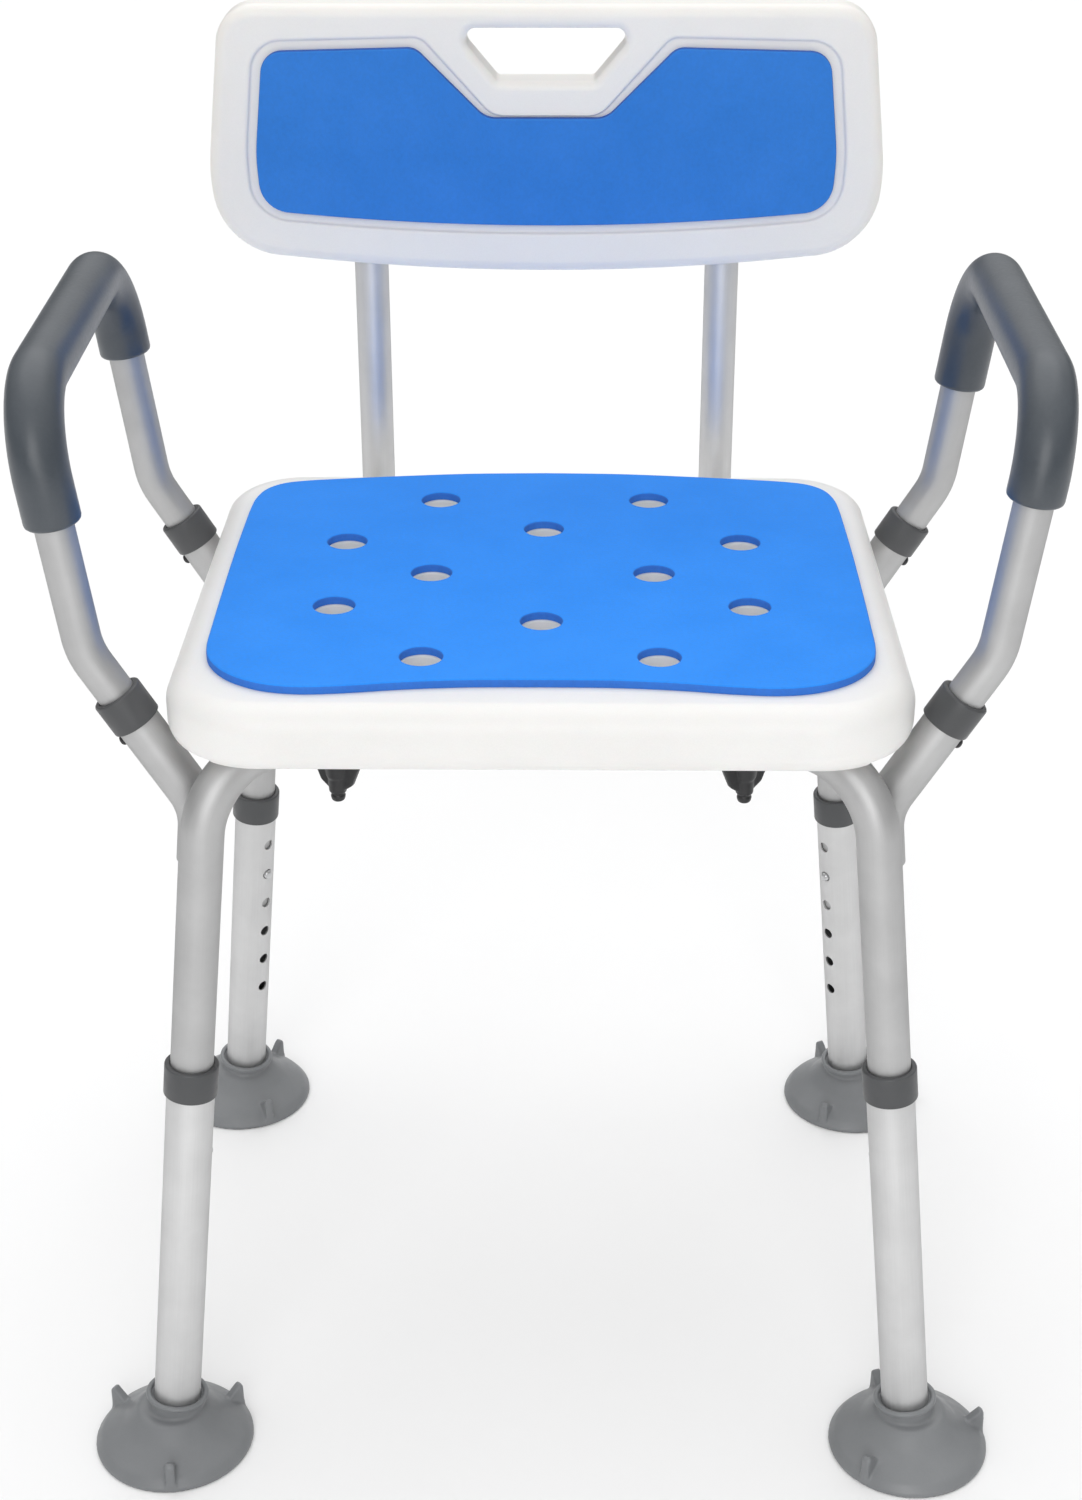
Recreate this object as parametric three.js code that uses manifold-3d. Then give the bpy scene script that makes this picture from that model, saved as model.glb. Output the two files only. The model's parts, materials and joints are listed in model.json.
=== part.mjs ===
// Bath chair with a padded seat, a padded back and two lift-off arms, on four
// height-adjustable legs with suction feet. Millimetres, +Z up, front faces -Y.
// The origin is on the floor, midway between the four feet.

import * as THREE from 'three';
import { mergeVertices } from 'three/addons/utils/BufferGeometryUtils.js';
import Module from 'manifold-3d';

const wasm = await Module();
wasm.setup();

// ---- driving dimensions ---------------------------------------------------

const SIDES = 14; // flats round the outside of a tube
const BORE_SIDES = 10; // flats round the inside of a tube
const BEND_STEP = Math.PI / 5.8; // largest turn between two stations of a bend
const GAP = 0.3; // clearance between neighbouring pieces

// Legs. The leg axis runs from the foot up to the corner under the seat.
const FOOT_X = 230;
const FOOT_Y = 186.5;
const CORNER_X = 186.3;
const CORNER_Y = 154.9;
const CORNER_Z = 460; // level of the crossing tubes under the seat
const CORNER_BEND = 46;
const UPPER_OD = 25.4;
const UPPER_ID = 22.8;
const LOWER_OD = 28.6;
const LOWER_ID = 26.2;
const UPPER_START = 172; // lower end of the upper tube, along the leg
const LOWER_START = 14;
const LOWER_END = 272;
const HOLE_PITCH = 25;
const FIRST_HOLE = 234; // top hole of the lower tube, along the leg
const HOLES = 6;
const HOLE_R = 3.8;
const BUTTON_R = 3.3;
const LEG_COLLAR_R = 16.1;
const LEG_COLLAR_H = 18.5;

// Suction feet.
const FOOT_R = 49.3;
const FOOT_NECK_R = 18;
const FOOT_NECK_END = 36; // along the leg

// Arms. Each arm is an inverted U whose ends drop into two sockets.
const ARM_OD = 22.2;
const ARM_ID = 19.8;
const ARM_Y = 129.5;
const ARM_ROOT = [218.4, 463.3]; // x, z on the socket axis, lower end of the arm
const ARM_KNEE = [252.5, 520.2];
const ARM_TOP = [272.5, 666.5];
const ARM_KNEE_BEND = 46;
const ARM_TOP_BEND = 48;
const ARM_INSERT = 15; // arm tube below ARM_ROOT
const SOCKET_FOOT_Z = 389;
const SOCKET_KNEE = [194.2, 423];
const SOCKET_BEND = 40;
const SOCKET_TOP_Z = 493.2;
const SOCKET_COLLAR_R = 14.6;
const SOCKET_COLLAR_H = 19;
const ARM_BUTTON_Z = 472; // level of the arm's button on the socket axis
const GRIP_R = 16;
const GRIP_ENDS = { left: [596.5, 605.5], right: [611.5, 586] }; // heights of the front and rear ends

// Seat.
const SEAT_HALF_W = 210;
const SEAT_FRONT = 179;
const SEAT_REAR = 181;
const SEAT_CORNER_R = 54;
const SEAT_ROUND = 15;
const SEAT_BOTTOM_Z = 467;
const SEAT_TOP_Z = 507;
const SEAT_PAD_T = 5;
const DRAIN_R = 12.2;
const DRAINS = [
  [66.7, 117.2],
  [-66.7, 117.2],
  [0, 69.1],
  [121.3, 48.2],
  [-121.3, 48.2],
  [66.8, 0],
  [-66.8, 0],
  [121.3, -48.2],
  [-121.3, -48.2],
  [0, -69.1],
  [66.7, -117.2],
  [-66.7, -117.2],
];

// Back.
const BACK_X = 115.5;
const BACK_Y = 232;
const BACK_OD = 22.2;
const BACK_ID = 19.8;
const BACK_LOW_Z = 435.5;
const BACK_BEND = 55;
const BACK_FRONT_END = 72;
const BACK_TOP_Z = 776;
const PANEL_FRONT = 207;
const PANEL_T = 29;
const PANEL_ROUND = 8;
const BACK_PAD_T = 5;
const RECESS_DEPTH = 2.2;

// Wing screws that hold the frame, and at the rear also the back tubes.
const FRONT_SCREW = [118.5, -98.53];
const REAR_SCREW = [115.5, 96.03];
const STUD_R = 3;
const STUD_TOP_Z = 490;

// ---- materials ------------------------------------------------------------

function material(color, roughness, metalness) {
  return new THREE.MeshStandardMaterial({ color, roughness, metalness });
}

const aluminium = material(0xc9cacc, 0.34, 1);
const whitePlastic = material(0xf2f3f4, 0.42, 0);
const seatFoam = material(0x3f90fa, 0.85, 0);
const backFoam = material(0x3a78d6, 0.85, 0);
const slateFoam = material(0x596069, 0.7, 0);
const greyCollar = material(0x56585b, 0.5, 0);
const greyRubber = material(0x73777b, 0.6, 0);
const blackPlastic = material(0x1e1f21, 0.45, 0);
const steel = material(0x9a9c9f, 0.3, 1);

// ---- geometry helpers -----------------------------------------------------

function vec(x, y, z) {
  return new THREE.Vector3(x, y, z);
}

// A sweep path with exact stations: straight runs joined by round bends.
class StationPath extends THREE.Curve {
  constructor(points, tangents) {
    super();
    this.points = points;
    this.tangents = tangents;
  }
  station(t) {
    return Math.round(t * (this.points.length - 1));
  }
  getPoint(t, target = new THREE.Vector3()) {
    return target.copy(this.points[this.station(t)]);
  }
  getPointAt(t, target) {
    return this.getPoint(t, target);
  }
  getTangent(t, target = new THREE.Vector3()) {
    return target.copy(this.tangents[this.station(t)]);
  }
  getTangentAt(t, target) {
    return this.getTangent(t, target);
  }
}

// Corners: a list of { at, r } with r the bend radius at that corner.
function bentPath(start, corners, end) {
  const points = [start.clone()];
  const tangents = [];
  let from = start;
  corners.forEach((corner, index) => {
    const next = index + 1 < corners.length ? corners[index + 1].at : end;
    const inDir = corner.at.clone().sub(from).normalize();
    const outDir = next.clone().sub(corner.at).normalize();
    if (index === 0) tangents.push(inDir);
    const angle = inDir.angleTo(outDir);
    const steps = Math.ceil(angle / BEND_STEP);
    const reach = corner.r * Math.tan(angle / 2);
    const bisector = outDir.clone().sub(inDir).normalize();
    const centre = corner.at.clone().addScaledVector(bisector, corner.r / Math.cos(angle / 2));
    const first = corner.at.clone().addScaledVector(inDir, -reach).sub(centre);
    const axis = inDir.clone().cross(outDir).normalize();
    for (let i = 0; i <= steps; i += 1) {
      const turn = (angle * i) / steps;
      points.push(first.clone().applyAxisAngle(axis, turn).add(centre));
      tangents.push(inDir.clone().applyAxisAngle(axis, turn));
    }
    from = corner.at;
  });
  points.push(end.clone());
  const last = corners.length ? corners[corners.length - 1].at : start;
  tangents.push(end.clone().sub(last).normalize());
  if (corners.length === 0) tangents.push(tangents[0].clone());
  return new StationPath(points, tangents);
}

// The bore's flats lie outside its nominal radius, so that a round piece fits.
function ringShape(outer, inner, sides) {
  const shape = new THREE.Shape(circlePoints(outer, sides));
  if (inner > 0) shape.holes.push(new THREE.Path(circlePoints(outside(inner, BORE_SIDES), BORE_SIDES)));
  return shape;
}

function outside(radius, sides) {
  return radius / Math.cos(Math.PI / sides);
}

function circlePoints(radius, sides) {
  const points = [];
  for (let i = 0; i < sides; i += 1) {
    const angle = (2 * Math.PI * i) / sides;
    points.push(new THREE.Vector2(radius * Math.cos(angle), radius * Math.sin(angle)));
  }
  return points;
}

function tube(path, outer, inner, sides = SIDES) {
  return new THREE.ExtrudeGeometry(ringShape(outer, inner, sides), {
    steps: path.points.length - 1,
    extrudePath: path,
    curveSegments: 1,
  });
}

function straightTube(from, to, outer, inner, sides = SIDES) {
  return tube(bentPath(from, [], to), outer, inner, sides);
}

// A turned body: profile points [radius, height] round the local Z axis.
function turned(profile, sides) {
  const points = profile.map(([r, h]) => new THREE.Vector2(r, h));
  return new THREE.LatheGeometry(points, sides).rotateX(Math.PI / 2);
}

function placed(geometry, origin, axis) {
  const turn = new THREE.Quaternion().setFromUnitVectors(vec(0, 0, 1), axis.clone().normalize());
  return geometry.applyQuaternion(turn).translate(origin.x, origin.y, origin.z);
}

function rod(origin, axis, from, to, radius, sides) {
  const profile = [
    [0, from],
    [radius, from],
    [radius, to],
    [0, to],
  ];
  return placed(turned(profile, sides), origin, axis);
}

function toSolid(geometry) {
  const bare = new THREE.BufferGeometry();
  bare.setAttribute('position', geometry.getAttribute('position').clone());
  if (geometry.index) bare.setIndex(geometry.index.clone());
  const merged = mergeVertices(bare, 1e-4);
  return new wasm.Manifold(
    new wasm.Mesh({
      numProp: 3,
      vertProperties: new Float32Array(merged.getAttribute('position').array),
      triVerts: new Uint32Array(merged.index.array),
    }),
  );
}

function toGeometry(solid) {
  const mesh = solid.getMesh();
  const geometry = new THREE.BufferGeometry();
  geometry.setAttribute('position', new THREE.BufferAttribute(mesh.vertProperties, 3));
  geometry.setIndex(new THREE.BufferAttribute(mesh.triVerts, 1));
  geometry.computeVertexNormals();
  return geometry;
}

function join(first, ...others) {
  return toGeometry(others.reduce((solid, part) => solid.add(toSolid(part)), toSolid(first)));
}

function cut(first, ...tools) {
  return toGeometry(tools.reduce((solid, tool) => solid.subtract(toSolid(tool)), toSolid(first)));
}

function box(width, depth, height, x, y, z) {
  return new THREE.BoxGeometry(width, depth, height).translate(x, y, z);
}

const model = new THREE.Group();

function add(name, geometry, look) {
  const mesh = new THREE.Mesh(geometry, look);
  mesh.name = name;
  model.add(mesh);
}

// ---- corners of the chair -------------------------------------------------

// front left, front right, rear left, rear right, seen from the front
const QUARTERS = [
  { tag: 'fl', sx: -1, sy: -1 },
  { tag: 'fr', sx: 1, sy: -1 },
  { tag: 'rl', sx: -1, sy: 1 },
  { tag: 'rr', sx: 1, sy: 1 },
];

function legAxis(q) {
  const foot = vec(q.sx * FOOT_X, q.sy * FOOT_Y, 0);
  const corner = vec(q.sx * CORNER_X, q.sy * CORNER_Y, CORNER_Z);
  const up = corner.clone().sub(foot).normalize();
  const inward = vec(-q.sx * CORNER_X, -q.sy * CORNER_Y, 0).normalize();
  inward.addScaledVector(up, -inward.dot(up)).normalize();
  return { foot, corner, up, inward };
}

function alongLeg(q, distance) {
  const { foot, up } = legAxis(q);
  return foot.clone().addScaledVector(up, distance);
}

// ---- frame ----------------------------------------------------------------

function buttonHole(q, distance, from, to, radius) {
  return rod(alongLeg(q, distance), legAxis(q).inward, from, to, radius, 8);
}

function screwHole(q) {
  const [x, y] = q.sy < 0 ? FRONT_SCREW : REAR_SCREW;
  return rod(vec(q.sx * x, y, 0), vec(0, 0, 1), 420, 500, STUD_R + 0.5, 8);
}

function corner(q) {
  return { at: legAxis(q).corner, r: CORNER_BEND };
}

const BUTTON_AT = FIRST_HOLE - HOLE_PITCH;

// One tube runs from the front left leg to the rear right leg.
function longFrameTube(a, b) {
  const start = alongLeg(a, UPPER_START);
  const end = alongLeg(b, UPPER_START);
  const path = bentPath(start, [corner(a), corner(b)], end);
  return cut(
    tube(path, UPPER_OD / 2, UPPER_ID / 2),
    buttonHole(a, BUTTON_AT, 6, 20, HOLE_R),
    buttonHole(b, BUTTON_AT, 6, 20, HOLE_R),
    screwHole(a),
    screwHole(b),
  );
}

// Each other leg ends against the long tube, notched to fit round it.
function shortFrameTube(q, across) {
  const path = bentPath(alongLeg(q, UPPER_START), [corner(q)], vec(0, 0, CORNER_Z));
  const away = legAxis(across).corner;
  const from = vec(-away.x, -away.y, CORNER_Z);
  return cut(
    tube(path, UPPER_OD / 2, UPPER_ID / 2),
    straightTube(from, away, outside(UPPER_OD / 2 + GAP, 16), 0, 16),
    buttonHole(q, BUTTON_AT, 6, 20, HOLE_R),
    screwHole(q),
  );
}

const [FL, FR, RL, RR] = QUARTERS;
add('frame_tube_long', longFrameTube(FL, RR), aluminium);
add('frame_tube_fr', shortFrameTube(FR, RR), aluminium);
add('frame_tube_rl', shortFrameTube(RL, RR), aluminium);

// ---- arm sockets ----------------------------------------------------------

function socketLine(q) {
  const knee = vec(q.sx * SOCKET_KNEE[0], q.sy * ARM_Y, SOCKET_KNEE[1]);
  const root = vec(q.sx * ARM_ROOT[0], q.sy * ARM_Y, ARM_ROOT[1]);
  const dir = root.clone().sub(knee).normalize();
  return { knee, root, dir };
}

function onSocket(q, z) {
  const { root, dir } = socketLine(q);
  return root.clone().addScaledVector(dir, (z - root.z) / dir.z);
}

function outward(q) {
  const { dir } = socketLine(q);
  return vec(q.sx * dir.z, 0, -Math.abs(dir.x));
}

// The socket stands beside the leg on a weld, then leans outward.
function armSocket(q) {
  const low = besideLeg(q, SOCKET_FOOT_Z);
  const shell = tube(socketPath(q, low, SOCKET_TOP_Z), UPPER_OD / 2, 0);
  const boreLow = besideLeg(q, SOCKET_FOOT_Z + 1.5);
  const bore = tube(socketPath(q, boreLow, SOCKET_TOP_Z + 3), outside(ARM_OD / 2 + GAP, 12), 0, 12);
  const leg = straightTube(alongLeg(q, 340), alongLeg(q, 425), outside(UPPER_OD / 2 + GAP, 14), 0);
  const button = rod(onSocket(q, ARM_BUTTON_Z), outward(q), 6, 20, HOLE_R, 8);
  return cut(join(shell, weld(q)), bore, leg, button);
}

function besideLeg(q, z) {
  const { knee } = socketLine(q);
  const { up } = legAxis(q);
  return knee.clone().addScaledVector(up, (z - knee.z) / up.z);
}

function socketPath(q, low, topZ) {
  const { knee } = socketLine(q);
  return bentPath(low, [{ at: knee, r: SOCKET_BEND }], onSocket(q, topZ));
}

// The weld fills the valley between the socket and the leg.
function weld(q) {
  const { up } = legAxis(q);
  const low = besideLeg(q, SOCKET_FOOT_Z + 3);
  const toLeg = alongLeg(q, low.z / up.z).sub(low);
  toLeg.addScaledVector(up, -toLeg.dot(up));
  const reach = toLeg.length();
  const bar = box(11, reach * 0.5, 20, 0, reach * 0.5, 10);
  const ahead = toLeg.normalize();
  const turn = new THREE.Matrix4().makeBasis(ahead.clone().cross(up), ahead, up);
  return bar.applyMatrix4(turn).translate(low.x, low.y, low.z);
}

function socketCollar(q) {
  const bore = outside(UPPER_OD / 2 + 0.15, 14);
  const lip = outside(ARM_OD / 2 + GAP, 14);
  const profile = [
    [bore, -SOCKET_COLLAR_H],
    [SOCKET_COLLAR_R, -SOCKET_COLLAR_H],
    [SOCKET_COLLAR_R, 1.5],
    [lip, 1.5],
    [lip, GAP],
    [bore, GAP],
    [bore, -SOCKET_COLLAR_H],
  ];
  return placed(turned(profile, 14), onSocket(q, SOCKET_TOP_Z), socketLine(q).dir);
}

QUARTERS.forEach((q) => {
  add(`arm_socket_${q.tag}`, armSocket(q), aluminium);
  add(`arm_socket_collar_${q.tag}`, socketCollar(q), greyCollar);
});

// ---- sliding lower legs ---------------------------------------------------

function lowerTube(q) {
  const shell = straightTube(
    alongLeg(q, LOWER_START),
    alongLeg(q, LOWER_END),
    LOWER_OD / 2,
    LOWER_ID / 2,
  );
  const holes = [];
  for (let i = 0; i < HOLES; i += 1) {
    holes.push(buttonHole(q, FIRST_HOLE - i * HOLE_PITCH, 6, 20, HOLE_R));
  }
  return cut(shell, ...holes);
}

function legCollar(q) {
  const bore = outside(LOWER_OD / 2 + 0.15, 14);
  const lip = outside(UPPER_OD / 2 + GAP, 14);
  const profile = [
    [bore, GAP - LEG_COLLAR_H],
    [LEG_COLLAR_R, GAP - LEG_COLLAR_H],
    [LEG_COLLAR_R, 2],
    [lip, 2],
    [lip, GAP],
    [bore, GAP],
    [bore, GAP - LEG_COLLAR_H],
  ];
  return placed(turned(profile, 14), alongLeg(q, LOWER_END), legAxis(q).up);
}

// Suction cup with a leaning neck and three pull tabs at the rim.
function suctionFoot(q, turns) {
  const cup = turned(
    [
      [0, 5],
      [26, 5],
      [42, 0],
      [FOOT_R, 0],
      [FOOT_R, 2.6],
      [45, 7.5],
      [30, 17.5],
      [20, 27],
      [0, 27],
    ],
    18,
  ).translate(q.sx * FOOT_X, q.sy * FOOT_Y, 0);
  const neck = rod(alongLeg(q, 0), legAxis(q).up, 16, FOOT_NECK_END, FOOT_NECK_R, 14);
  const tabs = turns.map((degrees) => pullTab(q, degrees));
  const body = join(cup, neck, ...tabs);
  const bore = rod(alongLeg(q, 0), legAxis(q).up, LOWER_START - GAP, 60, outside(LOWER_OD / 2 + 0.15, 14), 14);
  return cut(body, bore);
}

// A fin on the shoulder of the cup, highest near the rim.
function pullTab(q, degrees) {
  const side = [
    [32, 9],
    [49, 3],
    [48.6, 19],
    [46, 21.5],
  ].map(([r, z]) => new THREE.Vector2(r, z));
  const tab = upright(new THREE.Shape(side), 6, -3, 0);
  return tab.rotateZ((degrees * Math.PI) / 180).translate(q.sx * FOOT_X, q.sy * FOOT_Y, 0);
}

// A snap button: a round pin with a domed tip and a flange inside the tube.
function snapButton(origin, axis, flange, tip) {
  const profile = [
    [0, flange - 1.2],
    [4.6, flange - 1.2],
    [4.6, flange],
    [BUTTON_R, flange],
    [BUTTON_R, tip - 1.2],
    [BUTTON_R - 1.4, tip],
    [0, tip],
  ];
  return placed(turned(profile, 8), origin, axis);
}

const TAB_TURNS = {
  fl: [150, 35, -85],
  fr: [110, 10, -130],
  rl: [60, 175, -60],
  rr: [115, 0, -120],
};

QUARTERS.forEach((q) => {
  add(`leg_tube_${q.tag}`, lowerTube(q), aluminium);
  add(`leg_collar_${q.tag}`, legCollar(q), greyCollar);
  add(`foot_${q.tag}`, suctionFoot(q, TAB_TURNS[q.tag]), greyRubber);
  const button = snapButton(alongLeg(q, BUTTON_AT), legAxis(q).inward, 9.6, 16.6);
  add(`leg_button_${q.tag}`, button, steel);
});

// ---- arms -----------------------------------------------------------------

function armCorners(sx) {
  const at = ([x, z], y) => vec(sx * x, y, z);
  return [
    { at: at(ARM_KNEE, -ARM_Y), r: ARM_KNEE_BEND },
    { at: at(ARM_TOP, -ARM_Y), r: ARM_TOP_BEND },
    { at: at(ARM_TOP, ARM_Y), r: ARM_TOP_BEND },
    { at: at(ARM_KNEE, ARM_Y), r: ARM_KNEE_BEND },
  ];
}

function armTube(front, rear) {
  const low = (q) => socketLine(q).root.addScaledVector(socketLine(q).dir, -ARM_INSERT);
  const path = bentPath(low(front), armCorners(front.sx), low(rear));
  const holes = [front, rear].map((q) => {
    return rod(onSocket(q, ARM_BUTTON_Z), outward(q), 6, 20, HOLE_R, 8);
  });
  return cut(tube(path, ARM_OD / 2, ARM_ID / 2), ...holes);
}

// A point on the upright between the knee and the top corner.
function onUpright(sx, y, z) {
  const share = (z - ARM_KNEE[1]) / (ARM_TOP[1] - ARM_KNEE[1]);
  const x = ARM_KNEE[0] + share * (ARM_TOP[0] - ARM_KNEE[0]);
  return vec(sx * x, y, z);
}

function armGrip(sx, [frontZ, rearZ]) {
  const start = onUpright(sx, -ARM_Y, frontZ);
  const end = onUpright(sx, ARM_Y, rearZ);
  const path = bentPath(start, armCorners(sx).slice(1, 3), end);
  return tube(path, GRIP_R, ARM_OD / 2 + 0.15);
}

[
  ['left', FL, RL],
  ['right', FR, RR],
].forEach(([side, front, rear]) => {
  add(`arm_tube_${side}`, armTube(front, rear), aluminium);
  add(`arm_grip_${side}`, armGrip(front.sx, GRIP_ENDS[side]), slateFoam);
  [front, rear].forEach((q) => {
    const button = snapButton(onSocket(q, ARM_BUTTON_Z), outward(q), 8.2, 15.3);
    add(`arm_button_${q.tag}`, button, blackPlastic);
  });
});

// ---- seat -----------------------------------------------------------------

// A closed outline through corner points, each rounded by its own radius.
function roundedOutline(corners, segments) {
  const points = [];
  corners.forEach(([x, y, r], index) => {
    const [px, py] = corners[(index + corners.length - 1) % corners.length];
    const [nx, ny] = corners[(index + 1) % corners.length];
    const at = new THREE.Vector2(x, y);
    const back = new THREE.Vector2(px - x, py - y).normalize();
    const ahead = new THREE.Vector2(nx - x, ny - y).normalize();
    const half = Math.acos(THREE.MathUtils.clamp(back.dot(ahead), -1, 1)) / 2;
    const reach = r / Math.tan(half);
    const bisector = back.clone().add(ahead).normalize();
    const centre = at.clone().addScaledVector(bisector, r / Math.sin(half));
    const first = at.clone().addScaledVector(back, reach).sub(centre);
    const last = at.clone().addScaledVector(ahead, reach).sub(centre);
    const turn = Math.atan2(first.cross(last), first.dot(last));
    for (let i = 0; i <= segments; i += 1) {
      const spot = first.clone().rotateAround(new THREE.Vector2(), (turn * i) / segments);
      points.push(spot.add(centre));
    }
  });
  return points;
}

function drainPath([x, y], radius, sides) {
  const points = circlePoints(radius, sides).map((p) => p.add(new THREE.Vector2(x, y)));
  return new THREE.Path(points.reverse());
}

function seatBlank() {
  const w = SEAT_HALF_W;
  const outline = roundedOutline(
    [
      [w, -SEAT_FRONT, SEAT_CORNER_R],
      [w - 4, SEAT_REAR, SEAT_CORNER_R - 6],
      [4 - w, SEAT_REAR, SEAT_CORNER_R - 6],
      [-w, -SEAT_FRONT, SEAT_CORNER_R],
    ],
    5,
  );
  const depth = SEAT_TOP_Z - SEAT_BOTTOM_Z - 2 * SEAT_ROUND;
  return new THREE.ExtrudeGeometry(new THREE.Shape(outline), {
    depth,
    bevelThickness: SEAT_ROUND,
    bevelSize: SEAT_ROUND,
    bevelOffset: -SEAT_ROUND,
    bevelSegments: 3,
    curveSegments: 1,
  }).translate(0, 0, SEAT_BOTTOM_Z + SEAT_ROUND);
}

// Channel under the seat for one of the crossing tubes.
function tubeChannel(q) {
  const lift = SEAT_BOTTOM_Z + (CORNER_Z + UPPER_OD / 2 + GAP - SEAT_BOTTOM_Z) / 2 - 1;
  const height = CORNER_Z + UPPER_OD / 2 + GAP - SEAT_BOTTOM_Z + 2;
  const turn = Math.atan2(q.sy * CORNER_Y, q.sx * CORNER_X);
  return box(620, UPPER_OD + 1.4, height, 0, 0, 0).rotateZ(turn).translate(0, 0, lift);
}

function seatBoard() {
  const drains = DRAINS.map(([x, y]) => {
    return rod(vec(x, y, 0), vec(0, 0, 1), SEAT_BOTTOM_Z - 5, SEAT_TOP_Z + 5, DRAIN_R, 12);
  });
  const studs = QUARTERS.map((q) => {
    const [x, y] = q.sy < 0 ? FRONT_SCREW : REAR_SCREW;
    return rod(vec(q.sx * x, y, 0), vec(0, 0, 1), 460, STUD_TOP_Z + 1, STUD_R + 0.5, 8);
  });
  const pilots = bracketScrewSpots().map(([x, y]) => {
    return rod(vec(x, y, 0), vec(0, 0, 1), 460, 484, 2.2, 8);
  });
  return cut(seatBlank(), tubeChannel(RR), tubeChannel(FR), ...drains, ...studs, ...pilots);
}

// The pad is a flat sheet with a waved front edge and a bowed rear edge.
function padOutline() {
  const right = [
    [0, -146.5],
    [40, -147],
    [75, -150],
    [105, -154.5],
    [130, -156.5],
    [150, -153.5],
    [166, -145.5],
    [178, -134],
    [186, -119],
    [189, -102],
    [189.4, -75],
    [189.5, -30],
    [189.2, 30],
    [188.4, 75],
    [187.6, 103],
    [186, 121],
    [181, 136],
    [171, 146],
    [156, 151],
    [130, 155],
    [95, 159.5],
    [50, 164],
    [0, 165.5],
  ];
  const curve = new THREE.SplineCurve(right.map(([x, y]) => new THREE.Vector2(x, y)));
  const half = curve.getSpacedPoints(36);
  const left = half.slice(1, -1).map((p) => new THREE.Vector2(-p.x, p.y));
  return half.concat(left.reverse());
}

function seatPad() {
  const shape = new THREE.Shape(padOutline());
  DRAINS.forEach((spot) => shape.holes.push(drainPath(spot, DRAIN_R, 12)));
  const sheet = new THREE.ExtrudeGeometry(shape, {
    depth: SEAT_PAD_T,
    bevelEnabled: false,
    curveSegments: 1,
  });
  return sheet.translate(0, 0, SEAT_TOP_Z + 0.1);
}

function bracketScrewSpots() {
  const spots = [];
  [-1, 1].forEach((sx) => {
    [-18, 18].forEach((dx) => spots.push([sx * BACK_X + dx, BRACKET_Y]));
  });
  return spots;
}

const BRACKET_Y = 157;

add('seat_board', seatBoard(), whitePlastic);
add('seat_pad', seatPad(), seatFoam);

// ---- back -----------------------------------------------------------------

function backTube(sx) {
  const start = vec(sx * BACK_X, BACK_FRONT_END, BACK_LOW_Z);
  const heel = { at: vec(sx * BACK_X, BACK_Y, BACK_LOW_Z), r: BACK_BEND };
  const path = bentPath(start, [heel], vec(sx * BACK_X, BACK_Y, BACK_TOP_Z));
  const stud = rod(vec(sx * BACK_X, REAR_SCREW[1], 0), vec(0, 0, 1), 400, 460, STUD_R + 0.5, 8);
  const fixing = rod(vec(sx * BACK_X, BACK_Y, PANEL_SCREW_Z), vec(0, 1, 0), -20, 20, 2.6, 8);
  return cut(tube(path, BACK_OD / 2, BACK_ID / 2), stud, fixing);
}

const PANEL_SCREW_Z = 712;

// Outlines in the plane of the back, x across and height above the floor.
function mirrored(right) {
  const left = right.map(([x, z, r]) => [-x, z, r]).reverse();
  return right.concat(left);
}

function bowed(points, bow, halfWidth, baseZ) {
  return points.map((p) => {
    if (p.y > baseZ) return p;
    const share = Math.min(1, Math.abs(p.x) / halfWidth);
    return new THREE.Vector2(p.x, p.y - bow * (1 - share * share));
  });
}

function densify(points, step) {
  const result = [];
  points.forEach((p, index) => {
    const next = points[(index + 1) % points.length];
    const pieces = Math.max(1, Math.round(p.distanceTo(next) / step));
    for (let i = 0; i < pieces; i += 1) result.push(p.clone().lerp(next, i / pieces));
  });
  return result;
}

function panelOutline() {
  const corners = mirrored([
    [211, 644, 46],
    [216.5, 700, 120],
    [205, 804.5, 26],
  ]);
  return bowed(densify(roundedOutline(corners, 6), 45), 9.5, 170, 646);
}

function slotOutline() {
  const corners = mirrored([
    [30.5, 757.4, 4],
    [52, 783, 7],
    [47, 790, 5],
  ]);
  return roundedOutline(corners, 3);
}

function backPadOutline(grow) {
  const g = grow;
  const corners = mirrored([
    [183 + g, 674.5 - g, 20 + g],
    [185 + g, 712, 120],
    [178 + g, 776.5 + g, 14 + g],
    [82 - g * 0.6, 779 + g, 12],
    [38 - g * 0.6, 735.2 + g * 0.2, 16],
  ]);
  return bowed(densify(roundedOutline(corners, 5), 45), 8, 165, 676);
}

// Stands a flat outline up: x across, y becomes height, thickness along +Y.
function upright(shape, thickness, front, bevel) {
  const sheet = new THREE.ExtrudeGeometry(shape, {
    depth: thickness - 2 * bevel,
    bevelEnabled: bevel > 0,
    bevelThickness: bevel,
    bevelSize: bevel,
    bevelOffset: -bevel,
    bevelSegments: 2,
    curveSegments: 1,
  });
  return sheet.rotateX(Math.PI / 2).translate(0, front + thickness - bevel, 0);
}

function backPanel() {
  const slot = upright(new THREE.Shape(slotOutline()), 60, PANEL_FRONT - 15, 0);
  const blank = upright(new THREE.Shape(panelOutline()), PANEL_T, PANEL_FRONT, PANEL_ROUND);
  const recess = new THREE.Shape(backPadOutline(6));
  const pocket = upright(recess, 20, PANEL_FRONT + RECESS_DEPTH - 20, 0);
  const tools = [slot, pocket];
  [-1, 1].forEach((sx) => tools.push(tubeSlot(sx), panelPilot(sx)));
  return cut(blank, ...tools);
}

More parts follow.
